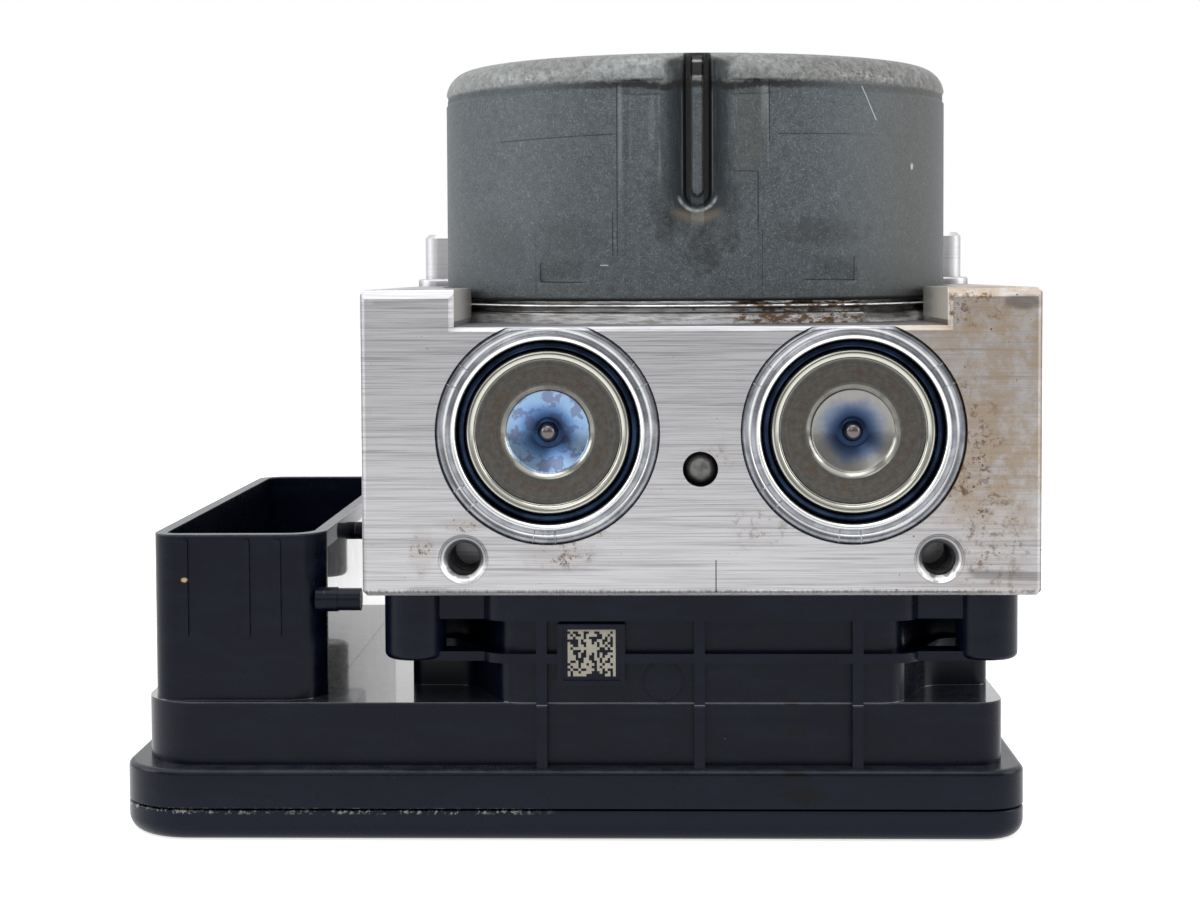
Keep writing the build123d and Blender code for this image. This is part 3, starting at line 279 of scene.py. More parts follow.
def milled_aluminium(look):
    """Sawn and milled metal: level lines, pits, brown stains, a serrated lower edge, a painted highlight on the
    notch's side walls, and painted highlights and shade in the countersinks.
    """
    f = Finish("milled_aluminium", metallic=1.0)
    low, high = heights("hydraulic_block")
    half_width, notch_half, notch_floor = 50, 36, 76.8
    fine = f.noise((0.05, 0.05, 5.0), 3, 0.7)
    coarse = f.noise((0.03, 0.03, 1.7), 3, 0.65)
    cloud = f.noise(0.05, 3, 0.6)
    grain = f.noise(0.9, 5, 0.75)
    right = f.x.ramp(12, 44)
    # Saw lines, darker towards the top and paler on the raised corners
    lines = coarse.ramp(0.48, 0.66) * 0.30 + fine.ramp(0.44, 0.64) * 0.44
    dark_lines = f.noise((0.02, 0.02, 2.3), 2, 0.6).ramp(0.655, 0.71) * (0.15 + cloud * 0.5)
    dark_lines = dark_lines * f.z.ramp(low + 10, low + 26, 0.35, 1)
    raised = f.z.ramp(high - 9.1, high - 8.6)
    tone = (lines + f.z.ramp(low + 4, low + 34) * 0.30).capped() * (1 - raised * 0.8)
    # Brown fluid stains and the thin wash at the right
    spots = f.spots(
        (1.6, -35, 47.2, 4.5, 1.2, 0.6), (1.28, -41, 43.5, 2.2, 4.0, 0.9), (0.96, -21, 43, 7, 3.0, 1.1),
        (0.7, 42, 46, 7, 17, 0.9), (1, 39, 79, 8, 3.5, 0.9), (0.8, 38, 60, 7, 14, 1.0),
        (0.5, 2, 57, 4.0, 3.0, 1.0), (0.5, 9, 47, 6, 4, 1.0), (1, -16, 46, 3.0, 0.7, 0.5),
    )
    rim = f.z.fall(low, low + 1.6) * f.noise((0.16, 0.16, 0.3), 3, 0.6).ramp(0.45, 0.60)
    brown = (spots + rim * 0.8) * grain.ramp(0.50, 0.59) * f.noise(0.35, 4, 0.7).ramp(0.40, 0.58)
    brown = brown.capped()
    aged = right * f.z.ramp(low + 6, low + 18, 0.25, 1) * f.y.ramp(-53, -30, 1, 0.12)
    cloudy = fine.ramp(0.60, 0.44) * 0.45 + f.noise(0.3, 5, 0.72).ramp(0.38, 0.58) * 0.55
    wash = (aged * cloudy + spots * 0.15).capped()
    # Pits, more of them at the right, and smears
    flecks = f.specks(0.55, 0.12, 0.20) * (0.35 + right) + f.specks(1.2, 0.14, 0.14) * (0.6 + right)
    flecks = (flecks + f.specks(0.8, 0.17, 0.30) * right).capped()
    flecks = flecks + f.noise((1.1, 1.1, 1.9), 5, 0.8).ramp(0.655, 0.70) * (right * 0.8 + 0.4)
    smear = f.line(39.5, 39.9, 49.7, 39.5, 1.0) * (0.4 + cloud * 0.6)
    smear = smear + f.line(-48, 80.0, -36.5, 80.3, 0.35) * 0.35
    smear = smear + f.spots((0.8, 47, 79.8, 3.4, 1.2, 0.6), (0.4, -40, 37.6, 4, 0.5, 0.6))
    # The mounting threads' countersinks: a painted highlight on the cone, strongest on its lower half, and painted
    # shade on its upper half and along its outer edge, darkest at the top
    hole = distance(abs(f.x) - MOUNT_X, f.z - MOUNT_Z)
    patches = f.noise((0.55, 0.55, 0.2), 2, 0.5).ramp(0.46, 0.54)
    cone_highlight = hole.within(2.95, 3.25) * 0.55 + f.z.ramp(41.6, 40.4) * patches
    cone_highlight = hole.within(2.5, 3.5, 0.08) * cone_highlight * f.front
    cone_shade = hole.within(2.5, 3.45, 0.08) * f.z.ramp(40.6, 43.2, 0.35, 0.85) * f.front
    cone_edge_shade = hole.within(3.5, 3.75, 0.08) * f.z.ramp(40.5, 44, 0.25, 0.8) * f.front
    # Edges: the block's sides, a painted highlight on the notch's side walls, a scribed line and the saw's teeth at
    # the foot
    side = abs(f.x).within(half_width - 0.28, half_width - 0.05, 0.05)
    notch_wall_highlight = abs(f.x).within(notch_half + 0.05, notch_half + 0.3, 0.04)
    notch_wall_highlight = notch_wall_highlight * f.z.ramp(notch_floor + 0.2, notch_floor + 0.6) * f.y.fall(-20, -18)
    scribe = f.line(2.25, low + 0.5, 2.25, low + 5.3, 0.13)
    teeth = f.noise((3.4, 0.3, 0.3), 0, 0.5).ramp(0.48, 0.52) * f.z.within(low + 0.3, low + 0.9, 0.12) * f.front
    colour = f.layered(
        look.aluminium,
        (tone, look.aluminium_dark),
        (dark_lines, look.aluminium_line),
        (wash * 0.75, look.stain_pale),
        (brown * 0.85, look.stain),
        (smear * 0.75, look.aluminium_line),
        (notch_wall_highlight * 0.8, look.aluminium_highlight),
        (cone_shade, look.lip_dark_and_shade),
        (cone_highlight, look.lip_highlight),
        (cone_edge_shade * 0.7 + flecks * 0.85 + scribe * 0.8 + teeth * 0.34 + side * 0.45, look.grime_and_shade),
    )
    roughness = 0.33 + fine * 0.10 + brown * 0.25 + cloud * 0.06
    height = fine * 0.30 + coarse * 0.45 - flecks * 1.2 - scribe * 1.5 - teeth * 0.8 + brown * 0.3
    metal = 1 - (flecks * 0.7 + brown * 0.5 + smear * 0.3 + notch_wall_highlight * 0.75).capped()
    return f.finished(colour, roughness, height, 0.035, metallic=metal)


def zinc_steel(look):
    """Dull zinc coat: mottled wall, worn and pitted shoulder, drawn panels, old stains and a scratch."""
    f = Finish("zinc_steel")
    foot, top = heights("motor_can")
    near = abs(f.x - SCOOP_X)
    wall_front = f.y.fall(-35.5, -34.5)
    worms = abs(f.noise(1.1, 2, 0.5, 2.2) - 0.5).fall(0.0, 0.035)
    mottle = f.noise(0.8, 5, 0.68, 0.6)
    cloud = f.noise(0.06, 4, 0.6)
    grain = f.noise(6.0, 2, 0.6)
    streaks = f.noise((1.3, 1.3, 0.12), 4, 0.7)
    # The shoulder's edge hangs down in ragged tips beside the scoop
    tips = near.fall(5.0, 9.5) * near.ramp(3.2, 4.6) * 0.5
    edge = f.z + tips + (f.noise(0.8, 4, 0.7) - 0.5) * near.ramp(12, 24, 1.5, 0.9)
    shoulder = edge.ramp(top - 4.7, top - 3.9)
    shade = edge.within(top - 5.4, top - 4.4, 0.25) * f.front * near.ramp(10, 26, 0.95, 0.28)
    pits = shoulder * f.noise(1.7, 5, 0.75).ramp(0.50, 0.62) * (0.6 + f.x.ramp(-10, 40) * 0.3)
    pits = pits + f.specks(0.62, 0.10, 0.30) * 0.8
    # Stains, the warm and the pale stretches of the wall, and the marks drawn in it; the last four marks are painted
    # shade along the lower and the outer edges of the two front crimped tabs
    stains = f.spots(
        (0.9, 1.0, 87.6, 3.0, 3.6, 0.9, 0.7), (0.8, -4.9, 91.2, 1.7, 3.4, 0.9, 0.7),
        (0.65, 18.6, 90.4, 7.5, 2.4, 1.0, 0.6), (0.6, 5.0, 90.0, 1.5, 2.6, 0.9, 0.7),
    )
    stains = stains.capped() * f.noise(1.0, 5, 0.7).ramp(0.36, 0.62, 0.35, 1)
    stains = stains + f.spots((0.18, -31, 89, 5, 4, 1.0), (0.2, -20, 90, 6, 3, 0.9))
    warm = f.x.within(5.8, 10.2, 1.2) * f.z.within(99.8, 112.2, 2.6) * (mottle * 0.5 + streaks * 0.2)
    warm = (warm + f.x.ramp(18, 40) * 0.5).capped() * f.y.fall(-32, 8)
    pale = f.x.within(-12.1, -11.6, 0.25) * f.z.ramp(92, 104) * (0.3 + mottle) * 0.8
    pale = pale + f.x.within(9.6, 10.6, 0.3) * f.z.ramp(104, 111) * 0.8
    pale = (pale + f.spot(-7.0, 107, 0.6, 5.0, 0.5) * 0.3) * wall_front
    marks = f.lines(
        (1, -12.35, 86.8, -12.35, 113.2, 0.11), (1, 10.85, 104, 10.85, 113, 0.10),
        (1, 9.1, 90.8, 9.1, 99.6, 0.09), (0.7, 9.75, 80.4, 9.75, 90.8, 0.08),
        (1, 5.4, 99.6, 9.1, 99.6, 0.08), (0.8, -30.9, 104.9, -12.6, 105.4, 0.13),
        (0.8, 12.2, 105.3, 23.7, 105.5, 0.11), (1, -13.05, 86.8, -13.05, 93.5, 0.12),
        (0.5, -25.2, 80.2, -25.2, 90.6, 0.07), (1, -24.4, 82.9, -17.2, 82.8, 0.15),
        (1, -24.4, 82.9, -24.4, 85.9, 0.12), (1, 16.2, 83.1, 24.3, 83.0, 0.13),
        (1, 24.2, 83.0, 24.2, 86.7, 0.12),
    )
    # Inside the scoop: black painted shade in the channel beside the fin, dark painted shade in the trough and round
    # the recess's lower wall, a painted highlight on the lip at its foot and along the edges of the fin, the channel
    # and the recess, and brown dust below it
    deep = near.within(0.95, 2.1, 0.2) * f.z.ramp(94.4, 95.6) * (0.55 + streaks * 0.6)
    deep = deep + near.fall(0.95, 1.1) * f.z.ramp(114.0, 114.3) * (1 - f.z.within(116.2, 116.6))
    deep = (deep * wall_front).capped()
    bend = distance(near, (96.6 - f.z).math("MAXIMUM", 0.0))
    trough = (bend + (streaks - 0.5) * 4).fall(3.4, 6.2) * f.z.ramp(top - 0.4, top - 1.6)
    trough = trough * near.ramp(0.9, 1.05) * (0.45 + streaks * 0.9) * wall_front
    hollow_shade = bend.within(5.0, 7.4, 1.0) * f.z.ramp(101, 95) * f.noise(0.7, 4, 0.7).ramp(0.38, 0.62) * wall_front
    lip = bend.within(2.75, 3.15, 0.22) * f.z.ramp(96.2, 95.0) * f.noise(1.2, 3).ramp(0.35, 0.60, 0.4, 1)
    lip = lip * wall_front
    halo = bend.within(3.3, 5.0, 0.7) * f.z.ramp(94.6, 93.0) * wall_front
    edges = near.within(0.80, 0.93, 0.05) * f.z.ramp(96.2, 97.5) * f.z.fall(top - 5, top - 3)
    edges = edges + near.within(2.2, 2.4, 0.08) * f.z.within(96.5, 112, 1.0) * 0.35
    edges = edges + near.within(5.6, 6.0, 0.25) * f.z.within(98, 112, 2.5) * streaks.ramp(0.40, 0.62) * 0.45
    edges = edges * wall_front
    scratch = f.lines((1, 25.5, 113.0, 27.9, 107.8, 0.09), (1, -15.0, 85.4, -13.8, 85.4, 0.12))
    scratch = scratch + f.spot(34.2, 100.9, 0.26, 0.6, 0.5, 2.5)
    worn = mottle.ramp(0.34, 0.66) * 0.55 + cloud.ramp(0.45, 0.7) * 0.2 + f.x.ramp(0, 34) * 0.3
    # dirt holds pits, stains and drawn marks, and also painted shade under the shoulder, in the scoop's channel and
    # hollow, and along the two front tabs
    dirt = pits * 0.5 + stains * 0.8 + marks * 0.8 + shade * 0.9 + hollow_shade * 0.45 + deep
    colour = f.layered(
        look.zinc,
        (mottle.ramp(0.30, 0.72) * 0.7 + cloud * 0.25, look.zinc_light),
        (worms * 0.30, look.zinc_bright_and_highlight),
        (pale.capped() * 0.35, look.zinc_bright_and_highlight),
        (warm, look.zinc_warm),
        (shoulder, f.mix(worn, look.zinc_worn, look.zinc_warm)),
        (trough * 0.95, look.trough),
        (dirt, look.grime_and_shade),
        (halo * 0.4, look.zinc_dust),
        (scratch + lip * 0.85 + edges * 0.5, look.zinc_bright_and_highlight),
        (f.z.fall(foot + 0.2, foot + 0.7), look.grime_and_shade),
    )
    roughness = 0.46 + mottle * 0.14 - shoulder * 0.10 - lip * 0.15
    height = mottle * 0.45 + grain * 0.2 + worms * 0.35 + f.noise(0.35, 2) * 0.5 - pits * 0.6 - marks * 0.5
    metal = 0.65 - (stains + deep).capped() * 0.4
    return f.finished(colour, roughness, height, 0.05, metallic=metal)


def black_plastic(look, name="black_plastic"):
    """Moulded black plastic: a fine grain, a faint film, a little dust and a few wet runs."""
    f = Finish(name, specular=0.15)
    grain = f.noise(4.0, 3, 0.6)
    cloud = f.noise(0.04, 3, 0.6)
    dust = f.specks(0.55, 0.06, 0.10) + f.specks(0.3, 0.032, 0.12)
    seam = f.z.within(4.2, 5.0, 0.2) * f.x.ramp(-20, -30) * f.noise((1.6, 0.5, 1.5), 4, 0.7).ramp(0.53, 0.60)
    film = (f.noise((0.10, 0.10, 0.35), 4, 0.65).ramp(0.42, 0.75) + f.z.ramp(11, 4) * 0.9).capped()
    wet = f.spots(
        (1, 13.5, 20.3, 1.3, 0.9, 0.35, 1.0), (1, 12.7, 18.8, 0.8, 0.5, 0.3, 1.0),
        (1, 14.0, 15.9, 1.6, 0.9, 0.5, 1.0), (1, 13.8, 9.8, 2.2, 0.7, 0.4), (1, 15.1, 7.0, 3.6, 1.3, 0.6),
    ).capped()
    # Painted highlights along the edges, broken into patches: the shroud's rim, the shelf and the flange's top
    rim, shelf, flange, side = (
        v / MM for v in (look.rim_height, look.shelf_height, look.flange_height, look.shroud_side)
    )
    rubbed = f.noise((0.3, 0.3, 0.3), 4, 0.7).ramp(0.30, 0.62, 0.35, 1)
    edges = f.z.ramp(rim - 0.35, rim - 0.15) + f.z.within(shelf - 0.25, shelf + 0.05, 0.06) * 0.6
    edges = (edges + f.z.within(flange - 0.45, flange + 0.05, 0.08) * 0.45) * rubbed
    # Gloss on the shelf and on the inner side of the shroud's right wall
    gloss = f.x.within(-side - 0.05, 0.05 - side, 0.02) * f.z.ramp(shelf, shelf + 0.2) * f.y.within(-48, 46, 1)
    gloss = (gloss + f.z.within(shelf - 0.05, shelf + 0.05, 0.02)).capped()
    colour = f.layered(
        look.plastic,
        (film * 0.8, look.plastic_film),
        (edges.capped() * 0.6, look.edge_highlight),
        (dust * 0.55 + seam * f.front * 0.8, look.dust),
        (wet * 0.85, look.wet),
        (f.spot(-77.4, 38.5, 0.55, 0.4, 0.3, 1.5), look.chip),
    )
    roughness = 0.20 + cloud * 0.10 + grain * 0.05 - wet * 0.10
    height = grain * 0.5 + f.noise(0.35, 2) * 0.5 + dust * 0.6
    f.shader.inputs["Coat Roughness"].default_value = 0.03
    f.shader.inputs["Coat IOR"].default_value = 1.8
    return f.finished(colour, roughness, height, 0.004, coat=gloss)


def turned_steel(name, bright, dull, metallic=1.0, rough=0.3, per_mm=0.8):
    """Bare or plated metal with a fine turned texture and small dark flecks."""
    f = Finish(name, metallic=metallic)
    cloud = f.noise(per_mm * 0.25, 4, 0.6)
    grain = f.noise(per_mm * 5, 3, 0.6)
    flecks = f.specks(per_mm * 0.7, 0.09, 0.22)
    colour = f.layered(bright, (cloud.ramp(0.3, 0.7), dull), (flecks * 0.6, tuple(c * 0.25 for c in dull)))
    return f.finished(colour, rough + (cloud + grain * 0.5) * 0.098, grain - flecks * 0.6, 0.012)


# Plain finishes: the bright and the dull colour on screen, then what turned_steel takes by name
PLAIN = {
    "bright_steel": ((206, 206, 208), (158, 158, 160), {"rough": 0.2}),
    "plated_steel": ((196, 196, 198), (150, 148, 144), {"rough": 0.28}),
    "dark_steel": ((30, 36, 52), (14, 17, 26), {"metallic": 0.9, "rough": 0.22}),
    "lamination_steel": ((126, 126, 128), (92, 92, 96), {"rough": 0.36, "per_mm": 1.6}),
    "spring_steel": ((132, 132, 136), (80, 80, 84), {"per_mm": 2}),
    "copper_wire": ((198, 118, 72), (150, 78, 44), {"per_mm": 2.2}),
    "tinned_metal": ((208, 202, 186), (168, 160, 140), {"rough": 0.26, "per_mm": 1.6}),
    "piston_aluminium": ((180, 180, 184), (148, 148, 152), {"rough": 0.34}),
    "ferrite": ((52, 52, 54), (34, 34, 36), {"metallic": 0.1, "rough": 0.6}),
    "carbon": ((44, 44, 44), (24, 24, 24), {"metallic": 0.1, "rough": 0.55}),
    "coil_plastic": ((34, 35, 36), (20, 21, 22), {"metallic": 0.0, "rough": 0.42}),
    "component_plastic": ((40, 40, 42), (22, 22, 24), {"metallic": 0.0, "rough": 0.4}),
    "board_laminate": ((38, 104, 62), (24, 78, 46), {"metallic": 0.0, "rough": 0.35}),
    "seal_rubber": ((22, 22, 23), (12, 12, 13), {"metallic": 0.0, "rough": 0.5}),
    "thread_metal": ((150, 150, 152), (96, 96, 98), {"rough": 0.25, "per_mm": 2}),
    "blued_ring": ((40, 54, 78), (16, 23, 38), {"metallic": 0.95, "rough": 0.14}),
    "ball_steel": ((118, 118, 116), (64, 64, 62), {}),
}


@cache
def plain(name):
    """One of the plain finishes, made once. The frame's own materials have the same names and aren't meant."""
    bright, dull, values = PLAIN[name]
    return turned_steel(name, linear(*bright), linear(*dull), **values)


def flange_zinc(look):
    """The flange plate: a bright rolled edge with rust and caked dirt at the right."""
    f = Finish("flange_zinc", metallic=1.0)
    seat = next(heights("motor_flange")) + SEAT_RISE
    streak = f.noise((0.25, 0.25, 2.2), 4, 0.7)
    rust = f.x.ramp(3, 7) * f.x.fall(24, 30) * f.noise((0.5, 0.5, 1.2), 4, 0.7).ramp(0.44, 0.58) * f.front
    dirt = f.noise((0.5, 0.5, 1.5), 4, 0.7).ramp(0.60, 0.70) * f.x.ramp(-34, 30, 0.15, 1)
    # Painted shade in the groove of the plate's rim
    dark = f.z.within(seat + 1.45, seat + 2.55, 0.08)
    colour = f.layered(
        look.flange,
        (streak.ramp(0.35, 0.65), look.flange_dull), (rust, look.stain), (dirt * 0.5 + dark * 0.6, look.grime_and_shade),
    )
    metal = 1 - (rust * 0.7 + f.z.ramp(seat + 1.4, seat + 1.3) * 0.6).capped()
    return f.finished(colour, 0.24 + streak * 0.2 + rust * 0.3, streak * 0.6 + dirt, 0.02, metallic=metal)


def lip_aluminium(look):
    """The machined lips round the accumulators: glassy grey with darker turned rings and painted highlights on the
    inner edge and the outer ridge.
    """
    f = Finish("lip_aluminium", metallic=1.0)
    away = distance(abs(f.x) - STORE_X, f.z - STORE_Z)
    cloud = f.noise(0.22, 4, 0.65, 0.8)
    turn = f.rings(away, 2.6)
    # Painted highlights on the lip's inner edge and on the slope of its outer ridge
    bright = away.within(13.7, 14.25, 0.18) + away.within(15.1, 15.45, 0.15) * 0.5
    nicks = f.specks(0.8, 0.10, 0.2)
    colour = f.layered(
        look.lip,
        (turn.ramp(0.35, 0.65) * 0.5 + cloud.ramp(0.35, 0.65) * 0.5, look.lip_dark_and_shade),
        (bright, look.lip_highlight),
        (away.ramp(16.25, 16.5) * 0.7 + nicks * 0.5, look.grime_and_shade),
    )
    return f.finished(colour, 0.15 + cloud * 0.16, cloud * 0.5 + turn * 0.4 - nicks * 0.5, 0.03)


def cap_steel(look, mark, centre_x, centre_z, blue, pale, patchy):
    """The accumulator cap: a bright rolled rim, a grey pitted face and a dish with a temper tint."""
    f = Finish("cap_steel_" + mark, metallic=1.0)
    above = f.z - centre_z
    away = distance(f.x - centre_x, above)
    inside = away.fall(6.1, 6.3)
    rings = f.rings(away, 3.0)
    cloud = f.noise(0.30, 4, 0.65)
    fine = f.noise(1.1, 5, 0.7)
    rust = away.within(7.6, 9.2, 0.7) * f.noise(0.45, 5, 0.7).ramp(0.44, 0.62)
    # Painted highlight, in patches, on the dish's edge, strongest at its lower side
    dish_edge_highlight = away.within(6.15, 6.95, 0.12) * f.noise(0.25, 3).ramp(0.35, 0.55, 0.2, 0.6)
    dish = f.layered(
        blue,
        ((away / 6.2 + (cloud - 0.5) * 0.6).ramp(0.45, 0.95), pale),
        (f.noise(0.42, 3, 0.6).ramp(0.50, 0.56) * patchy, look.cap_violet),
        (away.ramp(1.8, 4.8, 0.9, 0), look.cap_deep),
    )
    specks = f.specks(0.9, 0.10, 0.16) + f.noise(1.3, 4, 0.7).ramp(0.70, 0.73) * away.ramp(3.5, 5) * away.fall(6, 6.3)
    colour = f.layered(
        look.cap,
        (rings.ramp(0.35, 0.65) * 0.35 + fine.ramp(0.35, 0.65) * 0.5, look.cap_dark),
        (rust * 0.42, look.cap_rust),
        (away.ramp(10.72, 10.85), f.mix(rings.ramp(0.4, 0.6) * 0.6, look.rim, look.rim_gold)),
        # Painted shade in the groove of the rolled rim
        (away.within(11.5, 11.75, 0.08) * 0.6, look.cap_dark),
        (dish_edge_highlight * above.ramp(-6, 4, 1.0, 0.3), look.rim),
        (away.fall(6.1, 6.25), dish),
        (away.fall(1.25, 1.45), look.nub),
        (specks * 0.7, look.grime_and_shade),
    )
    roughness = 0.14 + away.within(6.9, 10.5) * 0.24 + inside * 0.06 + fine * 0.06 + rust * 0.15
    return f.finished(colour, roughness, rings * 0.4 + fine * 0.7 - specks * 0.6, 0.014)


# Mesh helpers


def made(name, bm, material, slot, replaces=(), crease=32):
    """Makes a piece of a bmesh, rides it on the unit and gives it its finish."""
    mesh = bpy.data.meshes.new(name)
    bmesh.ops.recalc_face_normals(bm, faces=bm.faces)
    bm.to_mesh(mesh)
    bm.free()
    piece = bpy.data.objects.new(name, mesh)
    bpy.context.scene.collection.objects.link(piece)
    mesh.materials.append(material)
    mesh.shade_smooth()
    mesh.set_sharp_from_angle(angle=math.radians(crease))
    weighted = piece.modifiers.new("Even faces", "WEIGHTED_NORMAL")
    weighted.keep_sharp = True
    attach(piece, "unit")
    if replaces:
        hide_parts(*replaces)
    return piece


def softened(node, material, slot, edge):
    """A copy of a CAD solid with its sharp edges rounded, standing for the solid."""
    bm = bmesh.new()
    bm.from_mesh(nodes[node].data)
    bmesh.ops.remove_doubles(bm, verts=bm.verts, dist=2e-6)
    bmesh.ops.dissolve_limit(bm, angle_limit=math.radians(0.3), verts=bm.verts, edges=bm.edges)
    sharp = [e for e in bm.edges if len(e.link_faces) == 2 and e.calc_face_angle(0) > math.radians(33)]
    bmesh.ops.bevel(
        bm, geom=sharp, offset=edge * MM, offset_type="OFFSET", segments=2, profile=0.5,
        affect="EDGES", clamp_overlap=True, miter_outer="SHARP", loop_slide=True,
    )
    return made(node + "_shape", bm, material, slot, [node], 38)


def round_axis(bm, centre, axis):
    """Gives a function that adds a point at an angle round the axis, a radius and a depth along it."""
    turn = Vector((0, 0, 1)).rotation_difference(Vector(axis)).to_matrix().to_4x4()
    placed = Matrix.Translation(Vector(centre) * MM) @ turn

    def add(angle, radius, depth):
        return bm.verts.new(placed @ (Vector((math.cos(angle) * radius, math.sin(angle) * radius, depth)) * MM))

    return add


def skinned(bm, rows):
    """Joins each two neighbouring rows of points with faces, all round."""
    for first, second in zip(rows, rows[1:]):
        for i in range(len(first)):
            j = (i + 1) % len(first)
            corners = list(dict.fromkeys((first[i], first[j], second[j], second[i])))
            if len(corners) > 2:
                bm.faces.new(corners)


def turned(name, profile, centre, axis, material, slot, replaces=(), steps=160):
    """A solid of revolution: the profile's points are (radius, depth along the axis), in millimetres."""
    bm = bmesh.new()
    add = round_axis(bm, centre, axis)
    rows = []
    for radius, depth in profile:
        if radius:
            rows.append([add(math.tau * i / steps, radius, depth) for i in range(steps)])
        else:
            rows.append([add(0, 0, depth)] * steps)
    skinned(bm, rows)
    return made(name, bm, material, slot, replaces)


def rounded_profile(points, radius, steps=3):
    """The points with each inner corner rounded by this radius, in millimetres."""
    result = [points[0]]
    for before, corner, after in zip(points, points[1:], points[2:]):
        a, c, b = Vector(before), Vector(corner), Vector(after)
        reach = min(radius, (a - c).length / 2.05, (b - c).length / 2.05)
        start, end = c + (a - c).normalized() * reach, c + (b - c).normalized() * reach
        for i in range(steps + 1):
            t = i / steps
            result.append(tuple(start.lerp(c, t).lerp(c.lerp(end, t), t)))
    return result + [points[-1]]


def block_of(bm, low, high):
    """Adds a box between two corners in millimetres."""
    low, high = Vector(low) * MM, Vector(high) * MM
    place = Matrix.Translation((low + high) / 2) @ Matrix.Diagonal((*(high - low), 1))
    bmesh.ops.create_cube(bm, size=1, matrix=place)


# Sizes and colours


def colour(name, description, *on_screen):
    return FloatVectorProperty(
        name=name, description=description, default=linear(*on_screen), size=3, min=0, max=1, subtype="COLOR"
    )


def length(name, description, default):
    return FloatProperty(name=name, description=description, default=default * MM, min=0, unit="LENGTH")


def degrees(name, description, default):
    return FloatProperty(name=name, description=description, default=math.radians(default), subtype="ANGLE")


def strength(name, description, default):
    return FloatProperty(name=name, description=description, default=default, min=0)


class MetalLook(bpy.types.PropertyGroup):
    """Colours of the bare and coated metals."""

    aluminium: colour("Aluminium", "Fresh milled aluminium", 192, 192, 195)
    aluminium_dark: colour("Aluminium, darker lines", "The darker saw lines", 136, 134, 137)
    aluminium_line: colour("Aluminium, deep lines", "The few deep saw lines", 88, 84, 83)
    # Painted highlight on the notch's side walls
    aluminium_highlight: colour("Aluminium, pale", "The notch's side walls", 214, 210, 200)
    stain: colour("Stain", "Brown brake fluid stains", 104, 76, 48)
    stain_pale: colour("Pale stain", "The thin brown wash at the right", 146, 124, 94)
    # Also painted shade: under the can's shoulder, in the scoop, along the front tabs, in the flange plate's groove
    # and round the countersinks' edges
    grime_and_shade: colour("Grime", "Pits and caked dirt", 30, 28, 28)
    zinc: colour("Zinc", "The can's wall", 64, 71, 76)
    zinc_light: colour("Zinc, lighter", "Pale mottling on the wall", 88, 94, 97)
    # Also the painted highlights on the scoop's lip and on the edges of the fin, the channel and the recess
    zinc_bright_and_highlight: colour("Zinc, bright", "Rubbed ridges and scratches", 170, 175, 176)
    zinc_warm: colour("Zinc, aged", "Brownish wall at the right", 90, 86, 79)
    zinc_worn: colour("Zinc, worn", "The rubbed shoulder and edges", 149, 153, 154)
    zinc_dust: colour("Zinc, dusty", "Brown dust at the scoop's foot", 126, 113, 96)
    # Painted shade in the scoop's trough
    trough: colour("Trough", "The dark trough of the scoop", 30, 35, 40)
    flange: colour("Flange", "Bright edge of the flange plate", 232, 232, 234)
    flange_dull: colour("Flange, dull", "Dull streaks of the flange plate", 156, 154, 150)
    lip: colour("Lip", "The machined lips round the accumulators", 154, 156, 162)
    # Also the painted shade on the upper half of the countersinks
    lip_dark_and_shade: colour("Lip, darker", "Darker turned rings", 92, 95, 102)
    # Painted highlights on the lips' inner edge and outer ridge, and on the countersinks
    lip_highlight: colour("Lip, bright", "Bright turned rings", 238, 238, 236)
    cap: colour("Cap", "Turned face of the accumulator caps", 90, 88, 84)
    cap_dark: colour("Cap, darker rings", "Darker turning marks", 68, 66, 63)
    cap_rust: colour("Cap rust", "Brown bloom on the cap", 86, 66, 50)
    rim: colour("Cap rim", "The rolled rim", 192, 192, 184)
    rim_gold: colour("Cap rim, yellow", "Yellowed stretches of the rim", 134, 130, 112)
    nub: colour("Cap nub", "The nub in the dish", 104, 99, 99)
    cap_blue: colour("Temper blue", "Tint of the left dish", 94, 132, 182)
    cap_grey_blue: colour("Temper grey", "Tint of the right dish", 78, 98, 128)
    cap_blue_outer: colour("Temper edge", "Tint near the dish's edge", 130, 156, 184)
    cap_grey_outer: colour("Temper grey edge", "Tint near the right dish's edge", 134, 133, 129)
    cap_violet: colour("Temper violet", "Violet clouds in the dish", 88, 84, 112)
    cap_deep: colour("Temper deep", "The dark middle of the dish", 22, 34, 58)


class MotorLook(bpy.types.PropertyGroup):
    """Sizes of the pressed shapes in the motor's can."""

    recess_depth: length("Recess depth", "Depth of the broad recess", 0.8)
    trough_depth: length("Trough depth", "Extra depth of the spoon shaped trough", 1.2)
    channel_depth: length("Channel depth", "Extra depth of the channel beside the fin", 1.3)
    pad_height: length("Pad height", "How far the panel edges stand out", 0.16)
    tab_depth: length("Tab depth", "Depth of the crimped tabs", 0.35)


class BlockLook(bpy.types.PropertyGroup):
    """Small shapes on the valve block."""

    edge: length("Edge rounding", "Rounding of the block's edges", 0.22)
    thread_pitch: length("Thread pitch", "Pitch of the threads", 1.0)
    thread_height: length("Thread height", "How far the threads stand out", 0.28)
    stake_length: length("Stake length", "Length of the staking marks round the bores", 3.2)


class SpringLook(bpy.types.PropertyGroup):
    """How far the pistons push their springs."""

    pump_travel: length("Pump travel", "Stroke of the pump pistons", 2.4)
    store_travel: length("Accumulator travel", "Stroke of the accumulator pistons", 6.0)


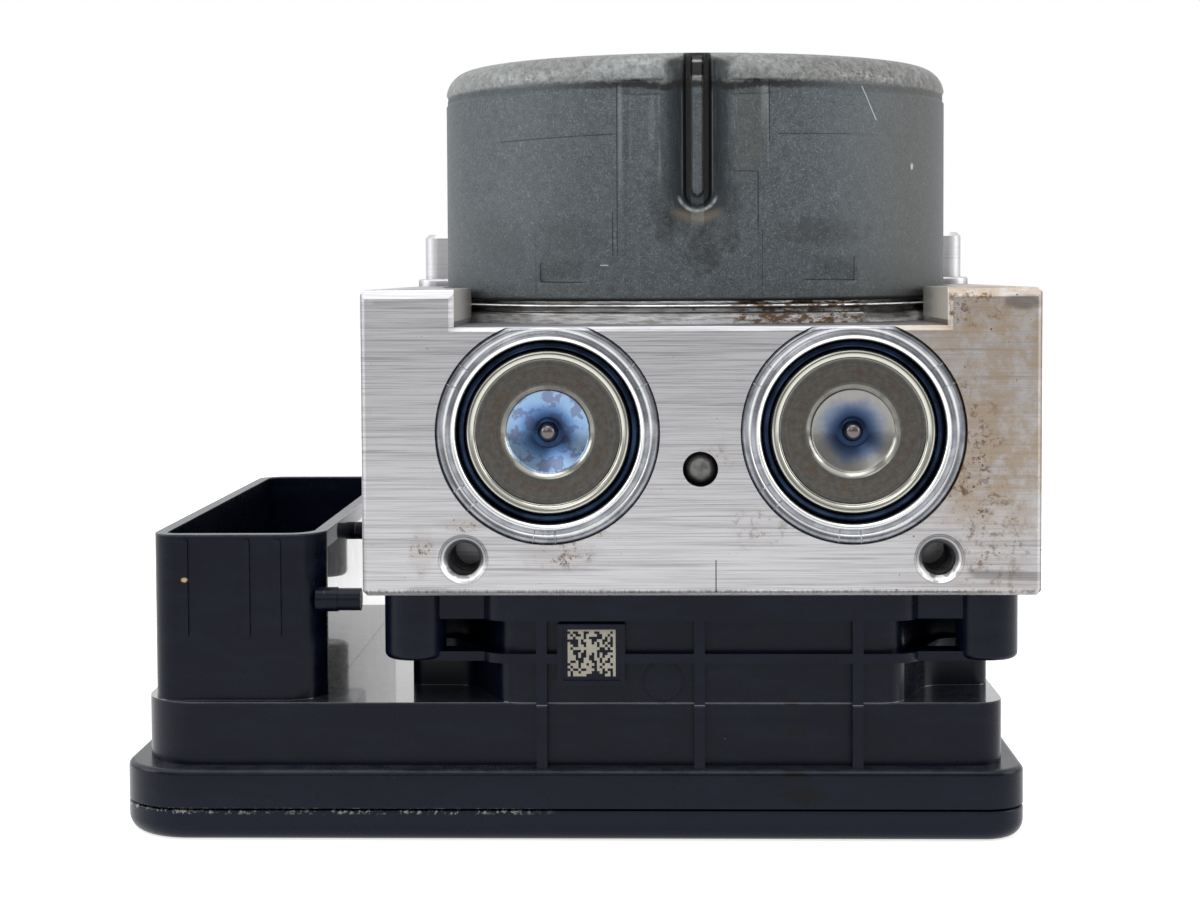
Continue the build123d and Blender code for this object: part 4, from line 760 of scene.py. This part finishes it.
class HousingLook(bpy.types.PropertyGroup):
    """Colours and small shapes of the control housing."""

    plastic: colour("Plastic", "Moulded black plastic", 6, 10, 26)
    plastic_film: colour("Plastic film", "Dusty film on the plastic", 16, 22, 40)
    dust: colour("Dust", "Dust and scuffs", 168, 166, 160)
    # Painted highlight along the plastic's edges
    edge_highlight: colour("Rubbed edges", "Edges of the plastic that are rubbed pale", 92, 96, 104)
    chip: colour("Chip", "A small torn spot on the shroud", 206, 178, 138)
    wet: colour("Wet runs", "The black of the wet runs", 3.3, 3.3, 6.6)
    edge: length("Edge rounding", "Rounding of the moulded edges", 0.3)
    rim_height: length("Rim height", "Height of the shroud's rim above the base", 45.3)
    shelf_height: length("Shelf height", "Height of the stepped body's top", 20.25)
    flange_height: length("Flange height", "Height of the flange's top", 10.75)
    shroud_side: length("Shroud side", "How far left of the middle the shroud's right wall stands", 56.7)
    plate_cells: IntProperty(
        name="Plate cells", description="Cells along the marked plate's side", default=18, min=4, max=40
    )
    plate_pale: colour("Plate", "The marked plate's pale cells", 178, 172, 158)
    ring_radius: length("Ring radius", "Radius of the moulded ring", 3.0)


class StageLook(bpy.types.PropertyGroup):
    """The camera and the light."""

    camera_place: FloatVectorProperty(
        name="Camera", description="Where the camera stands", size=3, subtype="TRANSLATION", unit="LENGTH",
        default=(-5.578 * MM, -388.43 * MM, 84.6 * MM),
    )
    camera_turn: degrees("Turn", "To the left", 1.566)
    camera_tilt: degrees("Tilt", "Downwards", 2.779)
    camera_roll: degrees("Roll", "About the view", -0.273)
    camera_lens: FloatProperty(name="Lens", description="Focal length for a 36 mm sensor", default=68.29, min=1)
    camera_shift: FloatProperty(name="Shift", description="Upward shift of the frame", default=-0.0574)
    front: strength("Front", "Strength of the surroundings mirrored from the front", 0.45)
    world: strength("World", "Strength of the white surroundings", 0.4)
    lamps: strength("Lamps", "Power of all lamps, relative", 1.0)
    floor: colour("Floor", "The pale floor", 245.81, 245.81, 245.81)


# Operators


class BRAKEUNIT_OT_inside(bpy.types.Operator):
    """Gives the solids inside and the small fittings their finishes"""

    bl_idname = "brakeunit.inside"
    bl_label = "Inner pieces"

    def execute(self, context):
        metal = context.scene.brake_metal
        finishes = {name: plain(name) for name in PLAIN}
        finishes["cap_steel"] = turned_steel("cap_steel", metal.cap[:], metal.cap_dark[:])
        for slot in ("milled_aluminium", "zinc_steel"):
            finishes[slot] = finishes["plated_steel"]
        inner = black_plastic(context.scene.brake_housing, "inner_plastic")
        finishes["black_plastic"] = finishes["cover_plastic"] = inner
        for piece in frame["record"]["subparts"]:
            solid = nodes[piece["node"]]
            solid.data.materials.clear()
            solid.data.materials.append(finishes[piece["material_slot"]])
        look = context.scene.brake_springs
        for side, mark in SIDES:
            self.spring("pump_spring_" + mark, "pump_stroke_" + mark, (side, 0, 0), look.pump_travel)
            self.spring("accumulator_spring_" + mark, "store_stroke_" + mark, (0, -1, 0), look.store_travel)
        return {"FINISHED"}

    def spring(self, node, joint, push, travel):
        """The CAD spring as a piece of its own mesh; its fixed end and how far its piston would shorten it are worked
        out, but the piece isn't shortened.
        """
        low, high = (Vector(corner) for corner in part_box(node))
        push = Vector(push)
        anchor = Vector(max(a * p, b * p) * p if p else (a + b) / 2 for a, b, p in zip(low, high, push))
        bm = bmesh.new()
        bm.from_mesh(nodes[node].data)
        piece = made(node + "_coil", bm, plain("spring_steel"), "spring_steel", [node])
        span = abs((high - low).dot(push))
        (span - travel) / span
        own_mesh(piece)


class BRAKEUNIT_OT_motor(bpy.types.Operator):
    """Makes the motor's can with its pressed shapes, and the flange plate under it"""

    bl_idname = "brakeunit.motor"
    bl_label = "Pump motor"

    def execute(self, context):
        look, metal = context.scene.brake_motor, context.scene.brake_metal
        base, top = heights("motor_can")
        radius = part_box("motor_can")[1][0] / MM
        shoulder = 4.2
        line = top - shoulder
        recess, trough, channel = look.recess_depth / MM, look.trough_depth / MM, look.channel_depth / MM
        # Raised pads: where each one's left edge, right edge, foot and head begin and end
        pads = (
            (-12.3, -12.1, -11.3, -10.6, 86.5, 88, line, line - 1.4),
            (-10.4, -10.0, -6.4, -5.8, 98, 103, line - 0.6, line - 1.4),
            (5.9, 6.3, 10.6, 10.9, 99.3, 99.7, line - 0.6, line - 1.2),
        )
        # Crimped tabs: six round the can, this far to each side and this far above its foot
        tab_half, tab_rise = 4.25, 2.95

        def into_u(x, z, half, foot):
            """How far inside an upright U of this half width and foot height a point lies."""
            centre = foot + half
            return half - (abs(x) if z > centre else math.hypot(x, z - centre))

        def sunk(angle, z):
            """How deep the wall is pressed in at this angle from the front and this height."""
            x = radius * math.sin(angle) - SCOOP_X
            depth = 0.16 * smooth(0.4, 0.0, abs(z - line))
            if math.cos(angle) > 0:
                wide = 5.5 + 1.1 * smooth(103, 94, z)
                depth += recess * smooth(-0.3 - 1.6 * smooth(104, 95, z), 0.9, into_u(x, z, wide, 89.8))
                depth += trough * smooth(-0.5, 2.2, into_u(x, z, 4.4, 92.2))
                depth += channel * smooth(-0.2, 0.3, into_u(x, z, 2.15, 94.3))
                fin = smooth(-0.16, 0.16, into_u(x, z, 0.88, 95.9)) * smooth(top - 0.4, top - 1.6, z)
                depth -= (recess + trough + channel - 1.0 - 0.9 * smooth(114.2, 114.6, z)) * fin
                near = smooth(18, 8, abs(x))
                ledge = smooth(line - 1.6 - near, line - 1.2 - near, z) * smooth(line + 0.1, line - 0.3, z)
                depth += (0.25 + 0.4 * near) * ledge * smooth(4.6, 5.6, abs(x))
                for a, b, c, d, e, f, g, h in pads:
                    across = smooth(a, b, x) - smooth(c, d, x)
                    depth -= look.pad_height / MM * across * smooth(e, f, z) * smooth(g, h, z)
                depth += 0.12 * (smooth(9.0, 9.15, x) - smooth(9.15, 9.3, x)) * smooth(100, 99, z)
                depth += 0.10 * smooth(0.25, 0.0, abs(z - 105.2)) * smooth(12, 13, abs(x)) * smooth(31, 26, abs(x))
            for i in range(6):
                across = abs(math.remainder(angle - math.radians(30 + 60 * i), math.tau)) * radius
                rise = z - base - tab_rise
                inside = smooth(tab_half + 0.1, tab_half - 0.1, across) * smooth(-0.12, 0.05, rise)
                depth += look.tab_depth / MM * inside * smooth(4.4, 0.3, rise)
            return depth

        angles = []
        turn = -math.pi
        while turn < math.pi - 1e-4:
            angles.append(turn)
            arc = abs(turn) * radius
            near_tab = min(abs((abs(turn) - math.radians(a)) * radius) for a in (30, 90, 150))
            step = 0.14 if arc < 12.6 else 0.3 if abs(near_tab - tab_half) < 0.8 else 1.1
            turn += step / radius
        rows = [(radius - 2.0, base), (radius - 0.35, base), (radius - 0.1, base + 0.1), (radius, base + 0.35)]
        z = base + 0.7
        while z < line - 0.05:
            rows.append((radius, z))
            z += 0.14 if z > line - 2.8 or base + 2.6 < z < base + 3.2 else 0.42 if z < 89 else 0.3
        for i in range(15):
            bend = math.radians(90 * i / 14)
            rows.append((radius - shoulder * (1 - math.cos(bend)), line + shoulder * math.sin(bend)))
        rows += [(r, top) for r in (34, 30, 25)] + [(24.4, top - 0.25), (17.5, top - 0.25), (16.9, top), (12, top)]
        rows += [(10.6, top - 0.1), (10.2, top - 0.7), (3, top - 0.7), (0.4, top - 0.7)]
        bm = bmesh.new()
        grid = []
        for row_radius, z in rows:
            ring = []
            for angle in angles:
                pressed = sunk(angle, min(z, top - 0.05)) if row_radius > 30 else 0
                r = (min(row_radius, radius - pressed) if pressed > 0 else row_radius - pressed) * MM
                ring.append(bm.verts.new((r * math.sin(angle), -r * math.cos(angle), z * MM)))
            grid.append(ring)
        skinned(bm, grid)
        bm.faces.new(grid[-1])
        made("can_shell", bm, zinc_steel(metal), "zinc_steel", ["motor_can"], 50)

        foot, disc = heights("motor_flange")
        seat = foot + SEAT_RISE
        outer, disc_radius, bore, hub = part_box("motor_flange")[1][0] / MM, 39.9, 4.5, 13.0
        rim = ((0, 0), (0, 1.55), (0.25, 1.7), (0.9, 1.8), (0.9, 2.45), (0.2, 2.6), (0, 2.75), (0.25, 3.0))
        plate = [(bore, foot), (hub, foot), (hub, seat)] + [(outer - back, seat + rise) for back, rise in rim]
        plate += [(disc_radius, seat + 3.0), (disc_radius, disc), (bore, disc)]
        plate = rounded_profile(plate, 0.12, 4)
        piece = turned(
            "flange_plate", plate, (0, 0, 0), (0, 0, 1), flange_zinc(metal), "plated_steel", ["motor_flange"], 360
        )
        # The slot in the plate's edge, at the right of the front
        turn, slot_depth = math.radians(-43), 1.7
        for vertex in piece.data.vertices:
            x, y, z = (v / MM for v in vertex.co)
            up = z - seat
            across = abs(math.remainder(math.atan2(y, x) - turn, math.tau)) * outer
            inside = smooth(6.3, 5.9, across) * smooth(0.7, 0.9, up) * smooth(2.7, 2.5, up)
            reach = math.hypot(x, y)
            if reach > outer - 1:
                vertex.co.xy *= 1 - (slot_depth - (outer - reach)) * inside / reach
        return {"FINISHED"}


class BRAKEUNIT_OT_block(bpy.types.Operator):
    """Makes the valve block and its threads"""

    bl_idname = "brakeunit.block"
    bl_label = "Valve block"

    def execute(self, context):
        look, metal = context.scene.brake_block, context.scene.brake_metal
        softened("hydraulic_block", milled_aluminium(metal), "milled_aluminium", look.edge / MM)
        mounts = {mount["name"]: mount for mount in frame["record"]["mounts"]}
        pitch, height = look.thread_pitch / MM, look.thread_height / MM
        depths = {"mounting_threads": 13, "wheel_ports_inner": 12, "wheel_ports_outer": 12, "master_ports": 14}
        for name, depth in depths.items():
            mount = mounts[name]
            radius = mount["dims"]["hole_r_mm"] + 0.02
            for side, mark in SIDES:
                place = Vector(mount["pos_m"]) / MM + Vector((side * mount["dims"]["spacing_x_mm"] / 2, 0, 0))
                self.thread(f"thread_{name}_{mark}", place, -Vector(mount["axis"]), radius, pitch, height, depth)
        return {"FINISHED"}

    def thread(self, name, place, axis, radius, pitch, height, end):
        """A ridge that winds round the inside of a bore."""
        bm = bmesh.new()
        add = round_axis(bm, place, axis)
        start, steps = 0.6, 40
        count = int((end - start) / pitch * steps)
        rows = []
        for i in range(count + 1):
            crest = radius - height * min(1.0, i / steps * 2, (count - i) / steps * 2)
            points = ((radius, -0.42), (crest, -0.07), (crest, 0.07), (radius, 0.42))
            rows.append([add(math.tau * i / steps, r, start + pitch * (i / steps + rise)) for r, rise in points])
        skinned(bm, rows)
        made(name, bm, plain("thread_metal"), "milled_aluminium")


class BRAKEUNIT_OT_accumulators(bpy.types.Operator):
    """Makes the accumulators' lips, caps and retaining rings, and the ball plugs"""

    bl_idname = "brakeunit.accumulators"
    bl_label = "Accumulators"

    def execute(self, context):
        look, metal = context.scene.brake_block, context.scene.brake_metal
        lip_metal = lip_aluminium(metal)
        nodes["ball_plugs"].data.materials[0] = plain("ball_steel")
        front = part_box("hydraulic_block")[0][1] / MM
        # Profiles: the radius and the depth behind the block's face
        face = [
            (0, 0.85), (0.7, 0.98), (1.1, 1.35), (1.3, 1.9), (1.5, 3.0), (2.3, 3.1), (6.0, 2.15), (6.3, 1.85),
            (6.8, 1.5), (7.2, 1.45), (10.6, 1.5), (10.8, 1.42), (11.0, 1.12), (11.5, 0.9), (11.95, 1.0),
            (12.2, 1.5), (12.25, 3.4), (13.66, 3.4), (13.66, 4.4), (0, 4.4),
        ]
        clip = [
            (12.3, 3.35), (12.32, 2.0), (12.5, 1.75), (13.1, 1.78), (13.45, 2.05), (13.66, 2.6), (13.66, 3.35),
            (12.3, 3.35),
        ]
        lip = [
            (13.69, 3.2), (13.5, 1.2), (13.6, 0.55), (13.95, 0.22), (14.35, 0.2), (14.8, 0.42), (15.1, 0.5),
            (15.35, 0.3), (15.8, 0.16), (16.2, 0.24), (16.6, 0.62),
        ]
        tints = (
            ("left", metal.cap_blue, metal.cap_blue_outer, 0.6),
            ("right", metal.cap_grey_blue, metal.cap_grey_outer, 0.1),
        )
        for mark, tint, pale, patchy in tints:
            low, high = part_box("accumulator_cap_" + mark)
            x, z = ((low[i] + high[i]) / 2 / MM for i in (0, 2))
            cap = cap_steel(metal, mark, x, z, tint, pale, patchy)
            place = ((x, front, z), (0, 1, 0))
            turned("cap_" + mark, rounded_profile(face, 0.25), *place, cap, "cap_steel", ["accumulator_cap_" + mark])
            turned(
                "retaining_ring_" + mark, rounded_profile(clip, 0.2), *place, plain("blued_ring"), "dark_steel",
                ["accumulator_clip_" + mark],
            )
            ring = turned(
                "bore_lip_" + mark, rounded_profile(lip, 0.2), *place, lip_metal, "milled_aluminium", steps=240
            )
            # The lip is bevelled where it reaches the floor of the motor's notch
            bevel = 0.75
            start = next(heights("motor_flange")) + SEAT_RISE - bevel
            for vertex in ring.data.vertices:
                above = vertex.co.z / MM - start
                if above > 0:
                    back = min(above, bevel) + max(above - bevel, 0) * 0.1
                    vertex.co.y = max(vertex.co.y, (front + back) * MM)
                    vertex.co.z = (start + min(above, bevel - 0.02)) * MM
            self.stakes("stakes_" + mark, place[0], look.stake_length / MM, lip_metal)
        return {"FINISHED"}

    def stakes(self, name, centre, span, material):
        """Small raised beads where the lip was staked."""
        bm = bmesh.new()
        shape = Matrix.Diagonal((1.0 * MM, 0.14 * MM, 0.16 * MM, 1))
        reach = 15.6
        for turn in (-92, -142, 148, 32):
            for end in (-0.5, 0.5):
                angle = math.radians(turn) + end * span / 15.4
                x, z = centre[0] + reach * math.cos(angle), centre[2] + reach * math.sin(angle)
                place = Matrix.Translation(Vector((x, centre[1] + 0.22, z)) * MM) @ Matrix.Rotation(-angle, 4, "Y")
                bmesh.ops.create_icosphere(bm, subdivisions=2, radius=1, matrix=place @ shape)
        made(name, bm, material, "milled_aluminium")


class BRAKEUNIT_OT_housing(bpy.types.Operator):
    """Makes the control housing, its cover, the marked plate and the moulded ring"""

    bl_idname = "brakeunit.housing"
    bl_label = "Control housing"

    def execute(self, context):
        look = context.scene.brake_housing
        plastic = black_plastic(look)
        softened("ecu_housing", plastic, "black_plastic", look.edge / MM)
        softened("ecu_cover", plastic, "cover_plastic", look.edge / MM)
        # The marked plate on its pad: a frame and pale cells in no order
        face, bar = -54.0, 0.75
        left, right, low, high = -21.2, -11.2, 23.25, 32.35
        bm = bmesh.new()
        for a, b in (
            ((left, low), (left + bar, high)), ((right - bar, low), (right, high)),
            ((left + bar, low), (right - bar, low + bar)), ((left + bar, high - bar), (right - bar, high)),
        ):
            block_of(bm, (a[0], face - 0.28, a[1]), (b[0], face + 0.2, b[1]))
        made("plate_frame", bm, plastic, "black_plastic")
        cells, side, corner, share = look.plate_cells, 7.1, (-19.7, 24.6), 0.52
        chance = Random(7)
        dull = tuple(c * 0.8 for c in look.plate_pale)
        pale = turned_steel("plate_pale", look.plate_pale[:], dull, metallic=0.0, rough=0.5)
        bm = bmesh.new()
        step = side / cells
        for column in range(cells):
            for row in range(cells):
                border = column == cells - 1 or row == cells - 1
                if border or chance.random() < share:
                    x, z = corner[0] + column * step, corner[1] + row * step
                    block_of(bm, (x, face - 0.04, z), (x + step, face + 0.03, z + step))
        made("plate_cells", bm, pale, "black_plastic")
        # The plain ring moulded in the face beside the plate
        bm = bmesh.new()
        add = round_axis(bm, (-5.6, -52.1, 23.4), (0, 1, 0))
        count, radius = 64, look.ring_radius / MM
        points = ((-0.22, 0.1), (-0.14, -0.1), (0.14, -0.1), (0.22, 0.1))
        rows = [[add(math.tau * i / count, radius + out, depth) for out, depth in points] for i in range(count)]
        skinned(bm, rows + rows[:1])
        made("moulded_ring", bm, plastic, "black_plastic")
        return {"FINISHED"}


class BRAKEUNIT_OT_stage(bpy.types.Operator):
    """Sets the floor, the light, the white surroundings and the camera"""

    bl_idname = "brakeunit.stage"
    bl_label = "Studio"

    def execute(self, context):
        look = context.scene.brake_stage
        scene = context.scene
        bm = bmesh.new()
        bmesh.ops.create_grid(bm, x_segments=1, y_segments=1, size=3.0)
        mesh = bpy.data.meshes.new("floor")
        bm.to_mesh(mesh)
        bm.free()
        floor = bpy.data.objects.new("floor", mesh)
        scene.collection.objects.link(floor)
        pale = Finish("floor_paint")
        seen = pale.seen()
        mottle = pale.noise(0.01, 2)
        paint = pale.mix(mottle * 0.1, look.floor, (0.96, 0.96, 0.96))
        pale.tree.links.new(paint.socket, pale.shader.inputs["Base Color"])
        pale.shader.inputs["Roughness"].default_value = 0.9
        glow = pale.node("ShaderNodeEmission", None, {"Color": (1, 1, 1, 1), "Strength": seen * 0.72})
        total = pale.node("ShaderNodeAddShader", None, {0: Wire(pale, pale.shader.outputs[0]), 1: glow})
        pale.tree.links.new(total.socket, pale.tree.nodes["Material Output"].inputs["Surface"])
        mesh.materials.append(pale.material)

        world = bpy.data.worlds.new("studio")
        world.use_nodes = True
        sky = Nodes(world.node_tree)
        ground = sky.tree.nodes["Background"]
        ground.inputs["Color"].default_value = (1, 1, 1, 1)
        camera_ray = sky.node("ShaderNodeLightPath", output="Is Camera Ray")
        way = sky.node("ShaderNodeTexCoord", output="Generated")
        toward, upward = (sky.node("ShaderNodeSeparateXYZ", None, {0: way}, axis) for axis in "YZ")
        round_about = toward.ramp(-0.96, -0.2, look.front, 1.0) + upward.ramp(0.15, 0.7) * 0.35
        mirrored = sky.node("ShaderNodeMix", None, {0: camera_ray, 2: round_about, 3: 1.0})
        strength = look.world + sky.seen() * (mirrored - look.world)
        sky.tree.links.new(strength.socket, ground.inputs["Strength"])
        scene.world = world

        lamps = (
            ("lamp_left", (-0.95, -0.15, 0.45), 0.6, 3.6),
            ("lamp_right", (0.95, -0.15, 0.40), 0.6, 3.2),
            ("lamp_top", (-0.05, -0.20, 1.0), 0.7, 2.8),
            ("lamp_front", (-0.35, -1.1, 0.65), 0.5, 1.3),
        )
        target = Vector((0, 0, 0.06))
        for name, place, size, power in lamps:
            light = bpy.data.lights.new(name, "AREA")
            light.shape = "SQUARE"
            light.size = size
            light.energy = power * look.lamps
            lamp = bpy.data.objects.new(name, light)
            lamp.location = place
            lamp.rotation_euler = (target - Vector(place)).to_track_quat("-Z", "Y").to_euler()
            scene.collection.objects.link(lamp)

        turn, tilt, roll = look.camera_turn, look.camera_tilt, look.camera_roll
        ahead = Vector((-math.sin(turn) * math.cos(tilt), math.cos(turn) * math.cos(tilt), -math.sin(tilt)))
        right = Vector((math.cos(turn), math.sin(turn), 0))
        up = right.cross(ahead)
        right, up = right * math.cos(roll) + up * math.sin(roll), up * math.cos(roll) - right * math.sin(roll)
        data = bpy.data.cameras.new("photo_camera")
        data.sensor_width = 36
        data.lens = look.camera_lens
        data.shift_y = look.camera_shift
        data.clip_start, data.clip_end = 0.01, 20
        camera = bpy.data.objects.new("photo_camera", data)
        turned_to = Matrix((right, up, -ahead)).transposed().to_4x4()
        camera.matrix_world = Matrix.Translation(look.camera_place) @ turned_to
        scene.collection.objects.link(camera)
        scene.camera = camera
        scene.view_settings.view_transform = "Standard"
        return {"FINISHED"}


OPERATORS = (
    BRAKEUNIT_OT_inside,
    BRAKEUNIT_OT_motor,
    BRAKEUNIT_OT_block,
    BRAKEUNIT_OT_accumulators,
    BRAKEUNIT_OT_housing,
    BRAKEUNIT_OT_stage,
)
LOOKS = {
    "brake_metal": MetalLook,
    "brake_motor": MotorLook,
    "brake_block": BlockLook,
    "brake_springs": SpringLook,
    "brake_housing": HousingLook,
    "brake_stage": StageLook,
}


class BRAKEUNIT_PT_panel(bpy.types.Panel):
    """Lists the steps and their sizes and colours"""

    bl_label = "Brake unit"
    bl_space_type = "VIEW_3D"
    bl_region_type = "UI"
    bl_category = "Brake unit"

    def draw(self, context):
        for operator in OPERATORS:
            self.layout.operator(operator.bl_idname)
        for name in LOOKS:
            look = getattr(context.scene, name)
            box = self.layout.box()
            for prop in look.bl_rna.properties:
                if prop.identifier not in {"rna_type", "name"}:
                    box.prop(look, prop.identifier)


def register():
    for name, look in LOOKS.items():
        bpy.utils.register_class(look)
        setattr(bpy.types.Scene, name, PointerProperty(type=look))
    for kind in (*OPERATORS, BRAKEUNIT_PT_panel):
        bpy.utils.register_class(kind)


def unregister():
    for kind in (BRAKEUNIT_PT_panel, *reversed(OPERATORS)):
        bpy.utils.unregister_class(kind)
    for name, look in LOOKS.items():
        delattr(bpy.types.Scene, name)
        bpy.utils.unregister_class(look)


def main():
    register()
    for operator in OPERATORS:
        group, name = operator.bl_idname.split(".")
        getattr(getattr(bpy.ops, group), name)()


if __name__ == "__main__":
    main()
